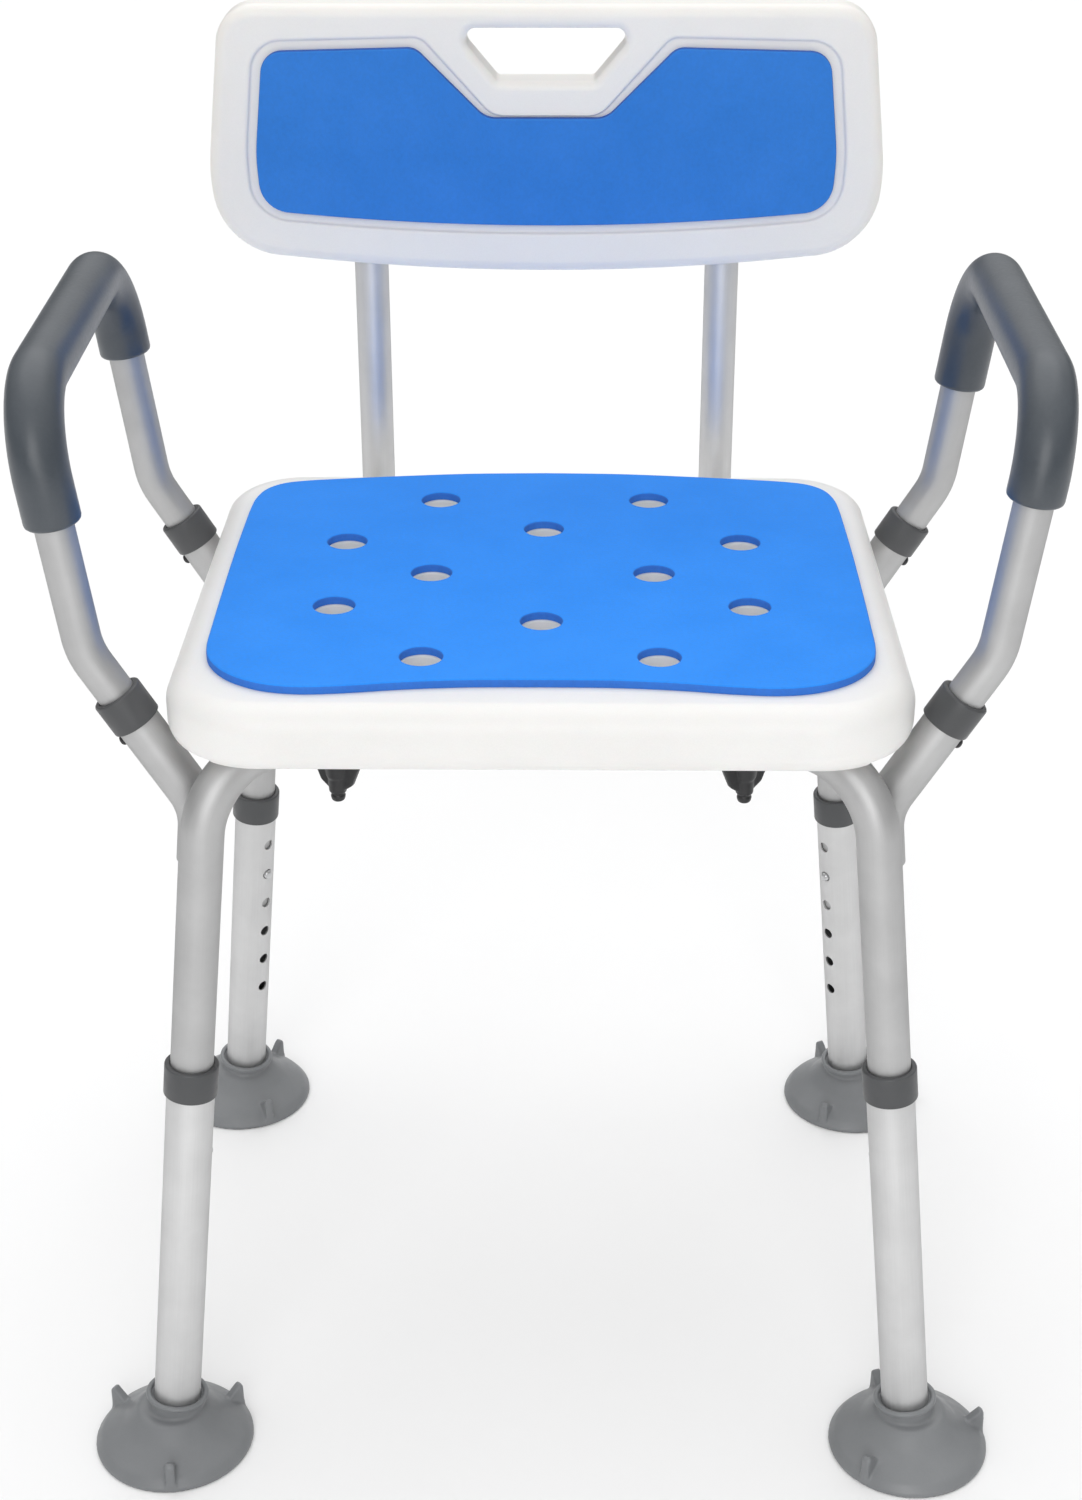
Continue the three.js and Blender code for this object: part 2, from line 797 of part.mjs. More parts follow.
// Slot up the rear of the panel that takes the back tube.
function tubeSlot(sx) {
  const r = outside(BACK_OD / 2 + GAP, 12);
  const x = sx * BACK_X;
  const round = rod(vec(x, BACK_Y, 0), vec(0, 0, 1), 600, BACK_TOP_Z + GAP, r, 12);
  const open = box(2 * r, 30, BACK_TOP_Z + GAP - 600, x, BACK_Y + 15, (BACK_TOP_Z + GAP + 600) / 2);
  return join(round, open);
}

function panelPilot(sx) {
  const depth = PANEL_FRONT + 6;
  return rod(vec(sx * BACK_X, 0, PANEL_SCREW_Z), vec(0, 1, 0), depth, 230, 2.6, 8);
}

function panelScrew(sx) {
  const head = BACK_Y + BACK_OD / 2 + GAP;
  const profile = [
    [0, PANEL_FRONT + 7],
    [2, PANEL_FRONT + 7],
    [2, head],
    [4.5, head],
    [4.5, head + 1.4],
    [3.2, head + 2.6],
    [0, head + 2.6],
  ];
  return placed(turned(profile, 8), vec(sx * BACK_X, 0, PANEL_SCREW_Z), vec(0, 1, 0));
}

function backPad() {
  const front = PANEL_FRONT + RECESS_DEPTH - 0.1 - BACK_PAD_T;
  return upright(new THREE.Shape(backPadOutline(0)), BACK_PAD_T, front, 0);
}

// Block screwed up under the rear of the seat, with a bore for the back tube.
function backBracket(sx) {
  const x = sx * BACK_X;
  const top = SEAT_BOTTOM_Z - 0.1;
  const plate = box(46, 22, 6, x, BRACKET_Y, top - 3);
  const saddle = box(28.5, 22, top - 421, x, BRACKET_Y, (top + 421) / 2);
  const bore = rod(vec(x, 0, BACK_LOW_Z), vec(0, 1, 0), 130, 180, outside(BACK_OD / 2 + GAP, 14), 14);
  const holes = [-18, 18].map((dx) => {
    return rod(vec(x + dx, BRACKET_Y, 0), vec(0, 0, 1), 440, 480, 2.2, 8);
  });
  return cut(join(plate, saddle), bore, ...holes);
}

function bracketScrew([x, y]) {
  const seat = SEAT_BOTTOM_Z - 0.1 - 6 - 0.1;
  const profile = [
    [0, seat - 2.4],
    [2.4, seat - 2.4],
    [3.6, seat - 1.2],
    [3.6, seat],
    [1.8, seat],
    [1.8, 482],
    [0, 482],
  ];
  return turned(profile, 8).translate(x, y, 0);
}

[
  ['left', -1],
  ['right', 1],
].forEach(([side, sx]) => {
  add(`back_tube_${side}`, backTube(sx), aluminium);
  add(`back_bracket_${side}`, backBracket(sx), blackPlastic);
  add(`back_panel_screw_${side}`, panelScrew(sx), steel);
});
bracketScrewSpots().forEach((spot, index) => {
  add(`bracket_screw_${index + 1}`, bracketScrew(spot), steel);
});
add('back_panel', backPanel(), whitePlastic);
add('back_pad', backPad(), backFoam);

// ---- wing screws ----------------------------------------------------------

// Plastic hub with two wings, and a steel stud that runs up into the seat.
function wingScrew(q) {
  const top = q.sy < 0 ? CORNER_Z - UPPER_OD / 2 - GAP : BACK_LOW_Z - BACK_OD / 2 - GAP;
  const profile = [
    [0, top - 37],
    [2.6, top - 37],
    [4.2, top - 33],
    [5.2, top - 22],
    [6.6, top - 20],
    [8, top - 8],
    [8.6, top],
    [STUD_R, top],
    [STUD_R, STUD_TOP_Z],
    [0, STUD_TOP_Z],
  ];
  const hub = turned(profile, 10);
  const wings = new THREE.ExtrudeGeometry(new THREE.Shape(wingOutline()), {
    depth: 4.4,
    bevelEnabled: false,
    curveSegments: 1,
  });
  wings.rotateX(Math.PI / 2).translate(0, 2.2, top);
  const turn = (q.sx * q.sy * -28 * Math.PI) / 180;
  const [x, y] = q.sy < 0 ? FRONT_SCREW : REAR_SCREW;
  return join(hub, wings).rotateZ(turn).translate(q.sx * x, y, 0);
}

function wingOutline() {
  return roundedOutline(
    [
      [5, -30, 2],
      [15.5, -12, 3],
      [16, -0.6, 2],
      [9, -0.6, 1],
      [-9, -0.6, 1],
      [-16, -0.6, 2],
      [-15.5, -12, 3],
      [-5, -30, 2],
    ],
    2,
  );
}

QUARTERS.forEach((q) => add(`wing_screw_${q.tag}`, wingScrew(q), blackPlastic));

export default model;
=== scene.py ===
"""Looks for a bath chair: padded seat and back, two lift-off arms, four legs on suction feet.

Lengths are in millimetres until a mesh is made, and then in metres.
"""

import json
import math

import bmesh
import bpy
from mathutils import Matrix, Vector


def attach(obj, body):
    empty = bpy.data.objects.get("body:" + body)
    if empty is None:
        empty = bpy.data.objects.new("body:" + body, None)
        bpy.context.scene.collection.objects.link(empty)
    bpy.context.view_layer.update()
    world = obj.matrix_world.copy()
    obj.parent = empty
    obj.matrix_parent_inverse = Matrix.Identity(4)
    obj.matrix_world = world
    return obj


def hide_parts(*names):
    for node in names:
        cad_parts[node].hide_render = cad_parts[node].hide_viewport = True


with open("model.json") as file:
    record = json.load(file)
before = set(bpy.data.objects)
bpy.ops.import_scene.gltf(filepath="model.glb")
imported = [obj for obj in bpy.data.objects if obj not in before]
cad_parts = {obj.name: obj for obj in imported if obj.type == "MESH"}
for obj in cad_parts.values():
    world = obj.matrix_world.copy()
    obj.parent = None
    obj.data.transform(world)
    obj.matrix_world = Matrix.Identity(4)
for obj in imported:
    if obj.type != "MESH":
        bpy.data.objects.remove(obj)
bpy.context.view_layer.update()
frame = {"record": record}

MM = 0.001
SCENE = bpy.context.scene
BODY_OF = {
    node: body
    for body, nodes in frame["record"]["behaviour"]["bodies"].items()
    for node in nodes
}
SLOT_OF = {part["node"]: part["material_slot"] for part in frame["record"]["subparts"]}


def vec(x, y, z):
    return Vector((x, y, z))


# ---- camera ----------------------------------------------------------------


def make_camera():
    data = bpy.data.cameras.new("camera")
    data.sensor_fit = "AUTO"
    data.sensor_width = 36
    data.lens = 60
    data.clip_start = 0.01
    data.clip_end = 50
    camera = bpy.data.objects.new("camera", data)
    SCENE.collection.objects.link(camera)
    pitch, yaw, roll = math.radians(27.53), math.radians(-0.75), math.radians(0.12)
    ahead = vec(math.sin(yaw) * math.cos(pitch), math.cos(yaw) * math.cos(pitch), -math.sin(pitch))
    level = vec(math.cos(yaw), -math.sin(yaw), 0)
    down = ahead.cross(level)
    across = level * math.cos(roll) + down * math.sin(roll)
    below = down * math.cos(roll) - level * math.sin(roll)
    turn = Matrix((across, -below, -ahead)).transposed()
    camera.matrix_world = Matrix.Translation((0.01682, -1.38078, 1.11174)) @ turn.to_4x4()
    SCENE.camera = camera


make_camera()

# ---- mesh helpers ----------------------------------------------------------


def link(name, mesh):
    obj = bpy.data.objects.new(name, mesh)
    SCENE.collection.objects.link(obj)
    return obj


def loft(name, rings, loop=False, lengths=None):
    """A closed mesh through rings of points. It is capped at both ends, or closed on itself."""
    mesh = bpy.data.meshes.new(name)
    size = len(rings[0])
    verts = [p * MM for ring in rings for p in ring]
    faces = []
    spans = len(rings) if loop else len(rings) - 1
    for i in range(spans):
        a, b = i * size, ((i + 1) % len(rings)) * size
        for k in range(size):
            n = (k + 1) % size
            faces.append((a + k, a + n, b + n, b + k))
    if not loop:
        faces.append(tuple(reversed(range(size))))
        faces.append(tuple(range((len(rings) - 1) * size, len(rings) * size)))
    mesh.from_pydata(verts, [], faces)
    if lengths:
        add_uvs(mesh, lengths, size, spans)
    bm = bmesh.new()
    bm.from_mesh(mesh)
    bmesh.ops.remove_doubles(bm, verts=bm.verts, dist=2e-7)
    bmesh.ops.recalc_face_normals(bm, faces=bm.faces)
    bm.to_mesh(mesh)
    bm.free()
    return link(name, mesh)


def add_uvs(mesh, lengths, size, spans):
    """U runs round a tube and V along it, both in metres."""
    layer = mesh.uv_layers.new(name="along")
    girth = 0.08
    count = 0
    for i in range(spans):
        v0, v1 = lengths[i] * MM, lengths[(i + 1) % len(lengths)] * MM
        for k in range(size):
            u0, u1 = girth * k / size, girth * (k + 1) / size
            for uv in ((u0, v0), (u1, v0), (u1, v1), (u0, v1)):
                layer.data[count].uv = uv
                count += 1


def shade(obj, degrees=34):
    mesh = obj.data
    mesh.polygons.foreach_set("use_smooth", [True] * len(mesh.polygons))
    mesh.set_sharp_from_angle(angle=math.radians(degrees))
    return obj


def settle(obj):
    """Applies obj's modifiers to its mesh."""
    graph = bpy.context.evaluated_depsgraph_get()
    done = bpy.data.meshes.new_from_object(
        obj.evaluated_get(graph), preserve_all_data_layers=True, depsgraph=graph
    )
    obj.modifiers.clear()
    old, obj.data = obj.data, done
    bpy.data.meshes.remove(old)
    return obj


def carve(obj, cutters, operation="DIFFERENCE"):
    for cutter in cutters:
        step = obj.modifiers.new("carve", "BOOLEAN")
        step.operation = operation
        step.solver = "MANIFOLD"
        step.object = cutter
    settle(obj)
    for cutter in cutters:
        bpy.data.objects.remove(cutter)
    return obj


def fuse(name, parts, voxel, passes):
    """One smooth moulded body out of overlapping parts."""
    bm = bmesh.new()
    for part in parts:
        bm.from_mesh(part.data)
    mesh = bpy.data.meshes.new(name)
    bm.to_mesh(mesh)
    bm.free()
    obj = link(name, mesh)
    remesh = obj.modifiers.new("remesh", "REMESH")
    remesh.mode = "VOXEL"
    remesh.voxel_size = voxel * MM
    smooth = obj.modifiers.new("smooth", "SMOOTH")
    smooth.factor = 0.5
    smooth.iterations = passes
    settle(obj)
    for part in parts:
        bpy.data.objects.remove(part)
    return obj


def even_faces(obj):
    """Keeps broad flat faces flat next to rounded edges."""
    step = obj.modifiers.new("normals", "WEIGHTED_NORMAL")
    step.mode = "FACE_AREA"
    step.weight = 80
    step.keep_sharp = True
    return obj


# ---- paths and tubes -------------------------------------------------------


def bent(start, corners, end, step=math.radians(4)):
    """Stations (point, direction) along straight runs joined by round bends."""
    stations = []
    here = start
    for index, (at, radius) in enumerate(corners):
        after = corners[index + 1][0] if index + 1 < len(corners) else end
        a = (at - here).normalized()
        b = (after - at).normalized()
        angle = a.angle(b)
        if not stations:
            stations.append((start.copy(), a.copy()))
        centre = at + (b - a).normalized() * (radius / math.cos(angle / 2))
        first = at - a * (radius * math.tan(angle / 2)) - centre
        axis = a.cross(b).normalized()
        count = max(2, math.ceil(angle / step))
        for k in range(count + 1):
            turn = Matrix.Rotation(angle * k / count, 3, axis)
            stations.append((turn @ first + centre, turn @ a))
        here = at
    direction = (end - here).normalized()
    if not stations:
        stations.append((start.copy(), direction.copy()))
    stations.append((end.copy(), direction))
    return stations


def circle(centre, x, y, radius, sides):
    points = []
    for k in range(sides):
        angle = 2 * math.pi * k / sides
        points.append(centre + (x * math.cos(angle) + y * math.sin(angle)) * radius)
    return points


def frames(stations):
    """Adds two cross axes to each station, carried along without twist."""
    direction = stations[0][1]
    side = direction.orthogonal().normalized()
    framed = []
    for point, ahead in stations:
        side = direction.rotation_difference(ahead) @ side
        direction = ahead
        framed.append((point, ahead, side, ahead.cross(side)))
    return framed


def skin(framed, radius, edge):
    """Rings of one surface of a tube, with both end edges rounded. A negative edge is a bore's."""
    rows = []
    turns = [math.pi / 2 * k / 3 for k in range(4)] if edge else [math.pi / 2]
    size = abs(edge)
    grow = 1 if edge > 0 else -1
    point, ahead, x, y = framed[0]
    for turn in turns:
        shift = size * (1 - math.cos(turn))
        rows.append((point + ahead * shift, x, y, radius - grow * size * (1 - math.sin(turn))))
    for point, ahead, x, y in framed[1:-1]:
        rows.append((point, x, y, radius))
    point, ahead, x, y = framed[-1]
    for turn in reversed(turns):
        shift = size * (1 - math.cos(turn))
        rows.append((point - ahead * shift, x, y, radius - grow * size * (1 - math.sin(turn))))
    return rows


def tube(name, stations, outer, inner=0.0, edge=0.3, sides=48, floor=0.0):
    """A tube along the stations. With a floor it is a blind bore, closed at the start."""
    framed = frames(stations)
    rows = skin(framed, outer, edge)
    if inner and floor:
        low = [(p + d * floor if i == 0 else p, d, x, y) for i, (p, d, x, y) in enumerate(framed)]
        rows = rows + [(p, x, y, inner) for p, d, x, y in reversed(low)]
    elif inner:
        rows = rows + list(reversed(skin(framed, inner, -min(edge, 0.3))))
    rings = [circle(p, x, y, r, sides) for p, x, y, r in rows]
    lengths = [0.0]
    for before, after in zip(rows, rows[1:]):
        lengths.append(lengths[-1] + (after[0] - before[0]).length)
    return loft(name, rings, loop=bool(inner) and not floor, lengths=lengths)


def straight(name, start, end, outer, inner=0.0, **options):
    return tube(name, bent(start, [], end), outer, inner, **options)


def lathe(name, profile, origin, axis, sides=56, loop=False):
    """Turns a profile of (radius, height) points about an axis."""
    axis = axis.normalized()
    x = axis.orthogonal().normalized()
    y = axis.cross(x)
    rings = [circle(origin + axis * h, x, y, max(r, 1e-5), sides) for r, h in profile]
    return loft(name, rings, loop=loop)


def fillet(corners, steps=4, closed=True):
    """Rounds each (x, y, radius) corner of an outline into a list of 2-D points."""
    points = []
    last = len(corners) - 1
    for index, (x, y, radius) in enumerate(corners):
        at = Vector((x, y))
        if radius == 0 or (not closed and index in (0, last)):
            points.append(at)
            continue
        back = (Vector(corners[index - 1][:2]) - at).normalized()
        ahead = (Vector(corners[(index + 1) % len(corners)][:2]) - at).normalized()
        half = back.angle(ahead) / 2
        reach = radius / math.tan(half)
        centre = at + (back + ahead).normalized() * (radius / math.sin(half))
        first = at + back * reach - centre
        final = at + ahead * reach - centre
        turn = math.atan2(first.x * final.y - first.y * final.x, first.dot(final))
        for k in range(steps + 1):
            points.append(centre + Matrix.Rotation(turn * k / steps, 2) @ first)
    return points


def rod(name, origin, axis, low, high, radius, sides=32):
    return lathe(name, [(0, low), (radius, low), (radius, high), (0, high)], origin, axis, sides)


# ---- outlines and slabs ----------------------------------------------------


def shifted(points, inward):
    """Moves a closed anticlockwise outline inward."""
    moved = []
    count = len(points)
    for i, p in enumerate(points):
        along = (points[(i + 1) % count] - points[i - 1]).normalized()
        moved.append(p + Vector((-along.y, along.x)) * inward)
    return moved


def flat(p, height):
    return vec(p.x, p.y, height)


def stood(p, depth):
    return vec(p.x, depth, p.y)


def slab(name, outline, low, high, low_round, high_round, lift, steps=7):
    """A plate with rounded edges. lift places a 2-D point at a height."""
    rings = []
    for k in range(steps + 1):
        turn = math.pi / 2 * k / steps
        inset = low_round * (1 - math.sin(turn))
        rings.append([lift(p, low + low_round * (1 - math.cos(turn))) for p in shifted(outline, inset)])
    for k in range(steps, -1, -1):
        turn = math.pi / 2 * k / steps
        inset = high_round * (1 - math.sin(turn))
        rings.append([lift(p, high - high_round * (1 - math.cos(turn))) for p in shifted(outline, inset)])
    return loft(name, rings)


def opening(name, outline, low, high, low_flare, high_flare, lift, steps=6):
    """A cutter for a hole whose two rims are rounded over."""
    rings = [[lift(p, low - 5) for p in shifted(outline, -low_flare)]]
    for k in range(steps + 1):
        turn = math.pi / 2 * k / steps
        out = low_flare * (1 - math.sin(turn))
        rise = low_flare * (1 - math.cos(turn)) + 0.02
        rings.append([lift(p, low + rise) for p in shifted(outline, -out)])
    for k in range(steps, -1, -1):
        turn = math.pi / 2 * k / steps
        out = high_flare * (1 - math.sin(turn))
        rise = high_flare * (1 - math.cos(turn)) + 0.02
        rings.append([lift(p, high - rise) for p in shifted(outline, -out)])
    rings.append([lift(p, high + 5) for p in shifted(outline, -high_flare)])
    return loft(name, rings)


def round_outline(x, y, radius, sides=48):
    turns = [2 * math.pi * k / sides for k in range(sides)]
    return [Vector((x + radius * math.cos(turn), y + radius * math.sin(turn))) for turn in turns]


# ---- materials -------------------------------------------------------------


def node(tree, kind, inputs=None, **settings):
    made = tree.nodes.new("ShaderNode" + kind)
    for name, value in settings.items():
        setattr(made, name, value)
    for name, value in (inputs or {}).items():
        made.inputs[name].default_value = value
    return made


def blank_material(name, sockets):
    material = bpy.data.materials.new(name)
    material.use_nodes = True
    tree = material.node_tree
    shader = tree.nodes["Principled BSDF"]
    for socket, value in sockets.items():
        shader.inputs[socket].default_value = value
    return material, tree, shader


def mix_colours(tree, factor, dark, light):
    ramp = node(tree, "ValToRGB")
    ramp.color_ramp.elements[0].position = 0.3
    ramp.color_ramp.elements[1].position = 0.7
    ramp.color_ramp.elements[0].color = (*dark, 1)
    ramp.color_ramp.elements[1].color = (*light, 1)
    tree.links.new(factor, ramp.inputs["Fac"])
    return ramp.outputs["Color"]


def tinted(tree, colour, factor, low, high):
    """Darkens or lightens a colour by a factor that varies over the surface."""
    span = node(tree, "MapRange", {"From Min": 0.3, "From Max": 0.7, "To Min": low, "To Max": high})
    tree.links.new(factor, span.inputs["Value"])
    scaled = node(tree, "VectorMath", operation="SCALE")
    tree.links.new(colour, scaled.inputs[0])
    tree.links.new(span.outputs["Result"], scaled.inputs["Scale"])
    return scaled.outputs["Vector"]


def ranged(tree, factor, low, high):
    span = node(tree, "MapRange", {"From Min": 0.3, "From Max": 0.7, "To Min": low, "To Max": high})
    tree.links.new(factor, span.inputs["Value"])
    return span.outputs["Result"]


def noise(tree, vector, scale, detail=3.0, roughness=0.55):
    made = node(tree, "TexNoise", {"Scale": scale, "Detail": detail, "Roughness": roughness})
    tree.links.new(vector, made.inputs["Vector"])
    return made.outputs["Fac"]


def bumps(tree, shader, layers):
    """Stacks height layers (height, strength, distance in metres) into the shader's normal."""
    normal = None
    for height, strength, distance in layers:
        bump = node(tree, "Bump", {"Strength": strength, "Distance": distance})
        tree.links.new(height, bump.inputs["Height"])
        if normal:
            tree.links.new(normal, bump.inputs["Normal"])
        normal = bump.outputs["Normal"]
    tree.links.new(normal, shader.inputs["Normal"])


def moulded(name, dark, light, rough, drift=16, grain=1500, depth=0.00002, sockets=None):
    """Moulded plastic or rubber: slow drift of tone, fine grain, and a slightly uneven gloss."""
    material, tree, shader = blank_material(name, sockets or {})
    place = node(tree, "TexCoord").outputs["Object"]
    slow = noise(tree, place, drift, 4)
    fine = noise(tree, place, grain, 2)
    ripple = noise(tree, place, 160, 2)
    colour = tinted(tree, mix_colours(tree, slow, dark, light), fine, 0.985, 1.015)
    tree.links.new(colour, shader.inputs["Base Color"])
    tree.links.new(ranged(tree, ripple, *rough), shader.inputs["Roughness"])
    bumps(tree, shader, [(ripple, 0.25, 0.0001), (fine, 0.5, depth)])
    return material


def foam(name, dark, light, rough, cell, pores=0.00009, sockets=None):
    """Closed-cell foam: fine cells, mottled tone and a soft sheen."""
    material, tree, shader = blank_material(name, sockets or {})
    place = node(tree, "TexCoord").outputs["Object"]
    slow = noise(tree, place, 22, 5, 0.6)
    mottle = noise(tree, place, 420, 3, 0.65)
    cells = node(tree, "TexVoronoi", {"Scale": cell, "Randomness": 1.0})
    tree.links.new(place, cells.inputs["Vector"])
    colour = tinted(tree, mix_colours(tree, slow, dark, light), mottle, 0.95, 1.05)
    tree.links.new(colour, shader.inputs["Base Color"])
    tree.links.new(ranged(tree, mottle, *rough), shader.inputs["Roughness"])
    bumps(tree, shader, [(mottle, 0.5, 0.00012), (cells.outputs["Distance"], 0.45, pores)])
    return material


def drawn_metal(name, dark, light, rough, sockets=None):
    """Drawn aluminium tube: long fine lines, a brushed gloss, and faint handling marks."""
    material, tree, shader = blank_material(name, {"Metallic": 0.78, **(sockets or {})})
    uv = node(tree, "UVMap", uv_map="along").outputs["UV"]
    stretch = node(tree, "Mapping", {"Scale": (1500, 14, 1)})
    tree.links.new(uv, stretch.inputs["Vector"])
    lines = noise(tree, stretch.outputs["Vector"], 1.0, 4, 0.6)
    place = node(tree, "TexCoord").outputs["Object"]
    slow = noise(tree, place, 30, 4)
    colour = tinted(tree, mix_colours(tree, slow, dark, light), lines, 0.965, 1.03)
    tree.links.new(colour, shader.inputs["Base Color"])
    tree.links.new(ranged(tree, lines, *rough), shader.inputs["Roughness"])
    fine = noise(tree, place, 900, 2)
    bumps(tree, shader, [(lines, 0.12, 0.00002), (fine, 0.15, 0.00001)])
    return material


LOOKS = {
    "aluminium": drawn_metal(
        "aluminium", (0.5, 0.5, 0.5), (0.56, 0.56, 0.56), (0.46, 0.56),
        sockets={"Specular Tint": (0.5, 0.5, 0.5, 1)},
    ),
    "pale_aluminium": drawn_metal(
        "pale_aluminium", (0.66, 0.66, 0.66), (0.72, 0.72, 0.72), (0.44, 0.54),
        sockets={"Specular Tint": (0.5, 0.5, 0.5, 1)},
    ),
    "white_plastic": moulded(
        "white_plastic", (0.85, 0.842, 0.822), (0.88, 0.872, 0.856), (0.36, 0.46),
        sockets={"Specular IOR Level": 0.5, "Subsurface Weight": 0.06, "Subsurface Scale": 0.004},
    ),
    # A lighter, warmer copy of white_plastic for the upright back panel: painted light that lifts the panel's
    # shade and cancels the blue light thrown up on it from the pads.
    "panel_plastic_painted_light": moulded(
        "panel_plastic_painted_light", (0.885, 0.868, 0.832), (0.91, 0.894, 0.862), (0.36, 0.46),
        sockets={"Specular IOR Level": 0.5, "Subsurface Weight": 0.06, "Subsurface Scale": 0.004},
    ),
    "seat_foam": foam("seat_foam", (0.02, 0.262, 0.9), (0.027, 0.284, 0.95), (0.72, 0.86), 1300,
                      sockets={"Specular IOR Level": 0.25, "Sheen Weight": 0.04, "Sheen Roughness": 0.5}),
    # The seat pad's cut sides: coarser open cells, and a darker, duller blue that is painted shade of the
    # sides.
    "seat_foam_cut_painted_shade": foam(
        "seat_foam_cut_painted_shade", (0.03, 0.17, 0.66), (0.038, 0.2, 0.72), (0.85, 0.95), 900, 0.0002,
    ),
    "back_foam": foam("back_foam", (0.031, 0.208, 0.66), (0.04, 0.23, 0.72), (0.72, 0.86), 1300,
                      sockets={"Specular IOR Level": 0.25, "Sheen Weight": 0.04, "Sheen Roughness": 0.5}),
    # The back pad's cut sides: coarser open cells, and a darker, duller blue that is painted shade of the
    # sides.
    "back_foam_cut_painted_shade": foam(
        "back_foam_cut_painted_shade", (0.028, 0.12, 0.48), (0.034, 0.14, 0.52), (0.85, 0.95), 900, 0.0002,
    ),
    "grip_foam": foam("grip_foam", (0.051, 0.062, 0.075), (0.065, 0.077, 0.091), (0.34, 0.42), 1700, 0.00002,
                      sockets={"Specular IOR Level": 0.7}),
    "grey_plastic": moulded("grey_plastic", (0.064, 0.066, 0.069), (0.082, 0.084, 0.088), (0.36, 0.5)),
    "grey_rubber": moulded(
        "grey_rubber", (0.188, 0.195, 0.203), (0.226, 0.234, 0.242), (0.34, 0.46),
        grain=1100, depth=0.00004,
    ),
    "black_plastic": moulded("black_plastic", (0.014, 0.014, 0.015), (0.024, 0.024, 0.026), (0.34, 0.5)),
    "steel": drawn_metal("steel", (0.52, 0.525, 0.53), (0.62, 0.625, 0.63), (0.22, 0.34)),
}


def finish_piece(obj, node_name, look=None, angle=34):
    """Gives a piece its look and puts it in place of a CAD node, on that node's body."""
    slot = SLOT_OF[node_name]
    obj.data.materials.clear()
    obj.data.materials.append(LOOKS[look or slot])
    shade(obj, angle)
    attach(obj, BODY_OF[node_name])
    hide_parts(node_name)
    return obj


def add_trim(obj, beside, look=None):
    """A small piece with no CAD node of its own, on the body of the node it belongs to."""
    slot = SLOT_OF[beside]
    obj.data.materials.clear()
    obj.data.materials.append(LOOKS[look or slot])
    shade(obj, 60)
    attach(obj, BODY_OF[beside])
    return obj


# ---- dimensions, as in the CAD ---------------------------------------------

FOOT_X, FOOT_Y = 230, 186.5
CORNER = (186.3, 154.9, 460)
CORNER_BEND = 46
UPPER_OD, UPPER_ID = 25.4, 22.8
LOWER_OD, LOWER_ID = 28.6, 26.2
UPPER_START, LOWER_START, LOWER_END = 172, 14, 272
FIRST_HOLE, HOLE_PITCH, HOLES, HOLE_R = 234, 25, 6, 3.8
BUTTON_AT = FIRST_HOLE - HOLE_PITCH
ARM_OD, ARM_ID, ARM_Y = 22.2, 19.8, 129.5
ARM_ROOT, ARM_KNEE, ARM_TOP = (218.4, 463.3), (252.5, 520.2), (272.5, 666.5)
ARM_KNEE_BEND, ARM_TOP_BEND, ARM_INSERT = 46, 48, 15
SOCKET_FOOT_Z, SOCKET_KNEE, SOCKET_BEND, SOCKET_TOP_Z = 389, (194.2, 423), 40, 493.2
ARM_BUTTON_Z = 472
GRIP_R = 16
GRIP_ENDS = {"left": (596.5, 605.5), "right": (611.5, 586)}
SEAT_HALF_W, SEAT_FRONT, SEAT_REAR, SEAT_CORNER_R, SEAT_ROUND = 210, 179, 181, 54, 15
SEAT_BOTTOM_Z, SEAT_TOP_Z, SEAT_PAD_T, DRAIN_R = 467, 507, 5, 12.2
DRAINS = [
    (sx * x, sy * y)
    for x, y in ((66.7, 117.2), (0, 69.1), (121.3, 48.2), (66.8, 0))
    for sx in ((1, -1) if x else (1,))
    for sy in ((1, -1) if y else (1,))
]
BACK_X, BACK_Y, BACK_OD, BACK_ID = 115.5, 232, 22.2, 19.8
BACK_LOW_Z, BACK_BEND, BACK_FRONT_END, BACK_TOP_Z = 435.5, 55, 72, 776
PANEL_FRONT, PANEL_T, PANEL_ROUND, BACK_PAD_T, RECESS_DEPTH = 207, 29, 8, 5, 2.2
PANEL_SCREW_Z, BRACKET_Y = 712, 157
FRONT_SCREW, REAR_SCREW = (118.5, -98.53), (115.5, 96.03)
GAP = 0.3

QUARTERS = {"fl": (-1, -1), "fr": (1, -1), "rl": (-1, 1), "rr": (1, 1)}
UP = vec(0, 0, 1)


class Leg:
    """Axis of a leg from its foot to the corner under the seat."""

    def __init__(self, tag):
        sx, sy = QUARTERS[tag]
        self.foot = vec(sx * FOOT_X, sy * FOOT_Y, 0)
        self.corner = vec(sx * CORNER[0], sy * CORNER[1], CORNER[2])
        self.up = (self.corner - self.foot).normalized()
        level = vec(-sx * CORNER[0], -sy * CORNER[1], 0).normalized()
        self.inward = (level - self.up * level.dot(self.up)).normalized()

    def at(self, distance):
        return self.foot + self.up * distance


class Socket:
    """Axis of an arm socket: beside the leg below its knee, leaning outward above."""

    def __init__(self, tag):
        sx, sy = QUARTERS[tag]
        self.knee = vec(sx * SOCKET_KNEE[0], sy * ARM_Y, SOCKET_KNEE[1])
        self.root = vec(sx * ARM_ROOT[0], sy * ARM_Y, ARM_ROOT[1])
        self.dir = (self.root - self.knee).normalized()
        self.out = vec(sx * self.dir.z, 0, -abs(self.dir.x))

    def at(self, height):
        return self.root + self.dir * ((height - self.root.z) / self.dir.z)

    def beside(self, leg, height):
        return self.knee + leg.up * ((height - self.knee.z) / leg.up.z)


LEGS = {tag: Leg(tag) for tag in QUARTERS}
SOCKETS = {tag: Socket(tag) for tag in QUARTERS}


# ---- frame -----------------------------------------------------------------


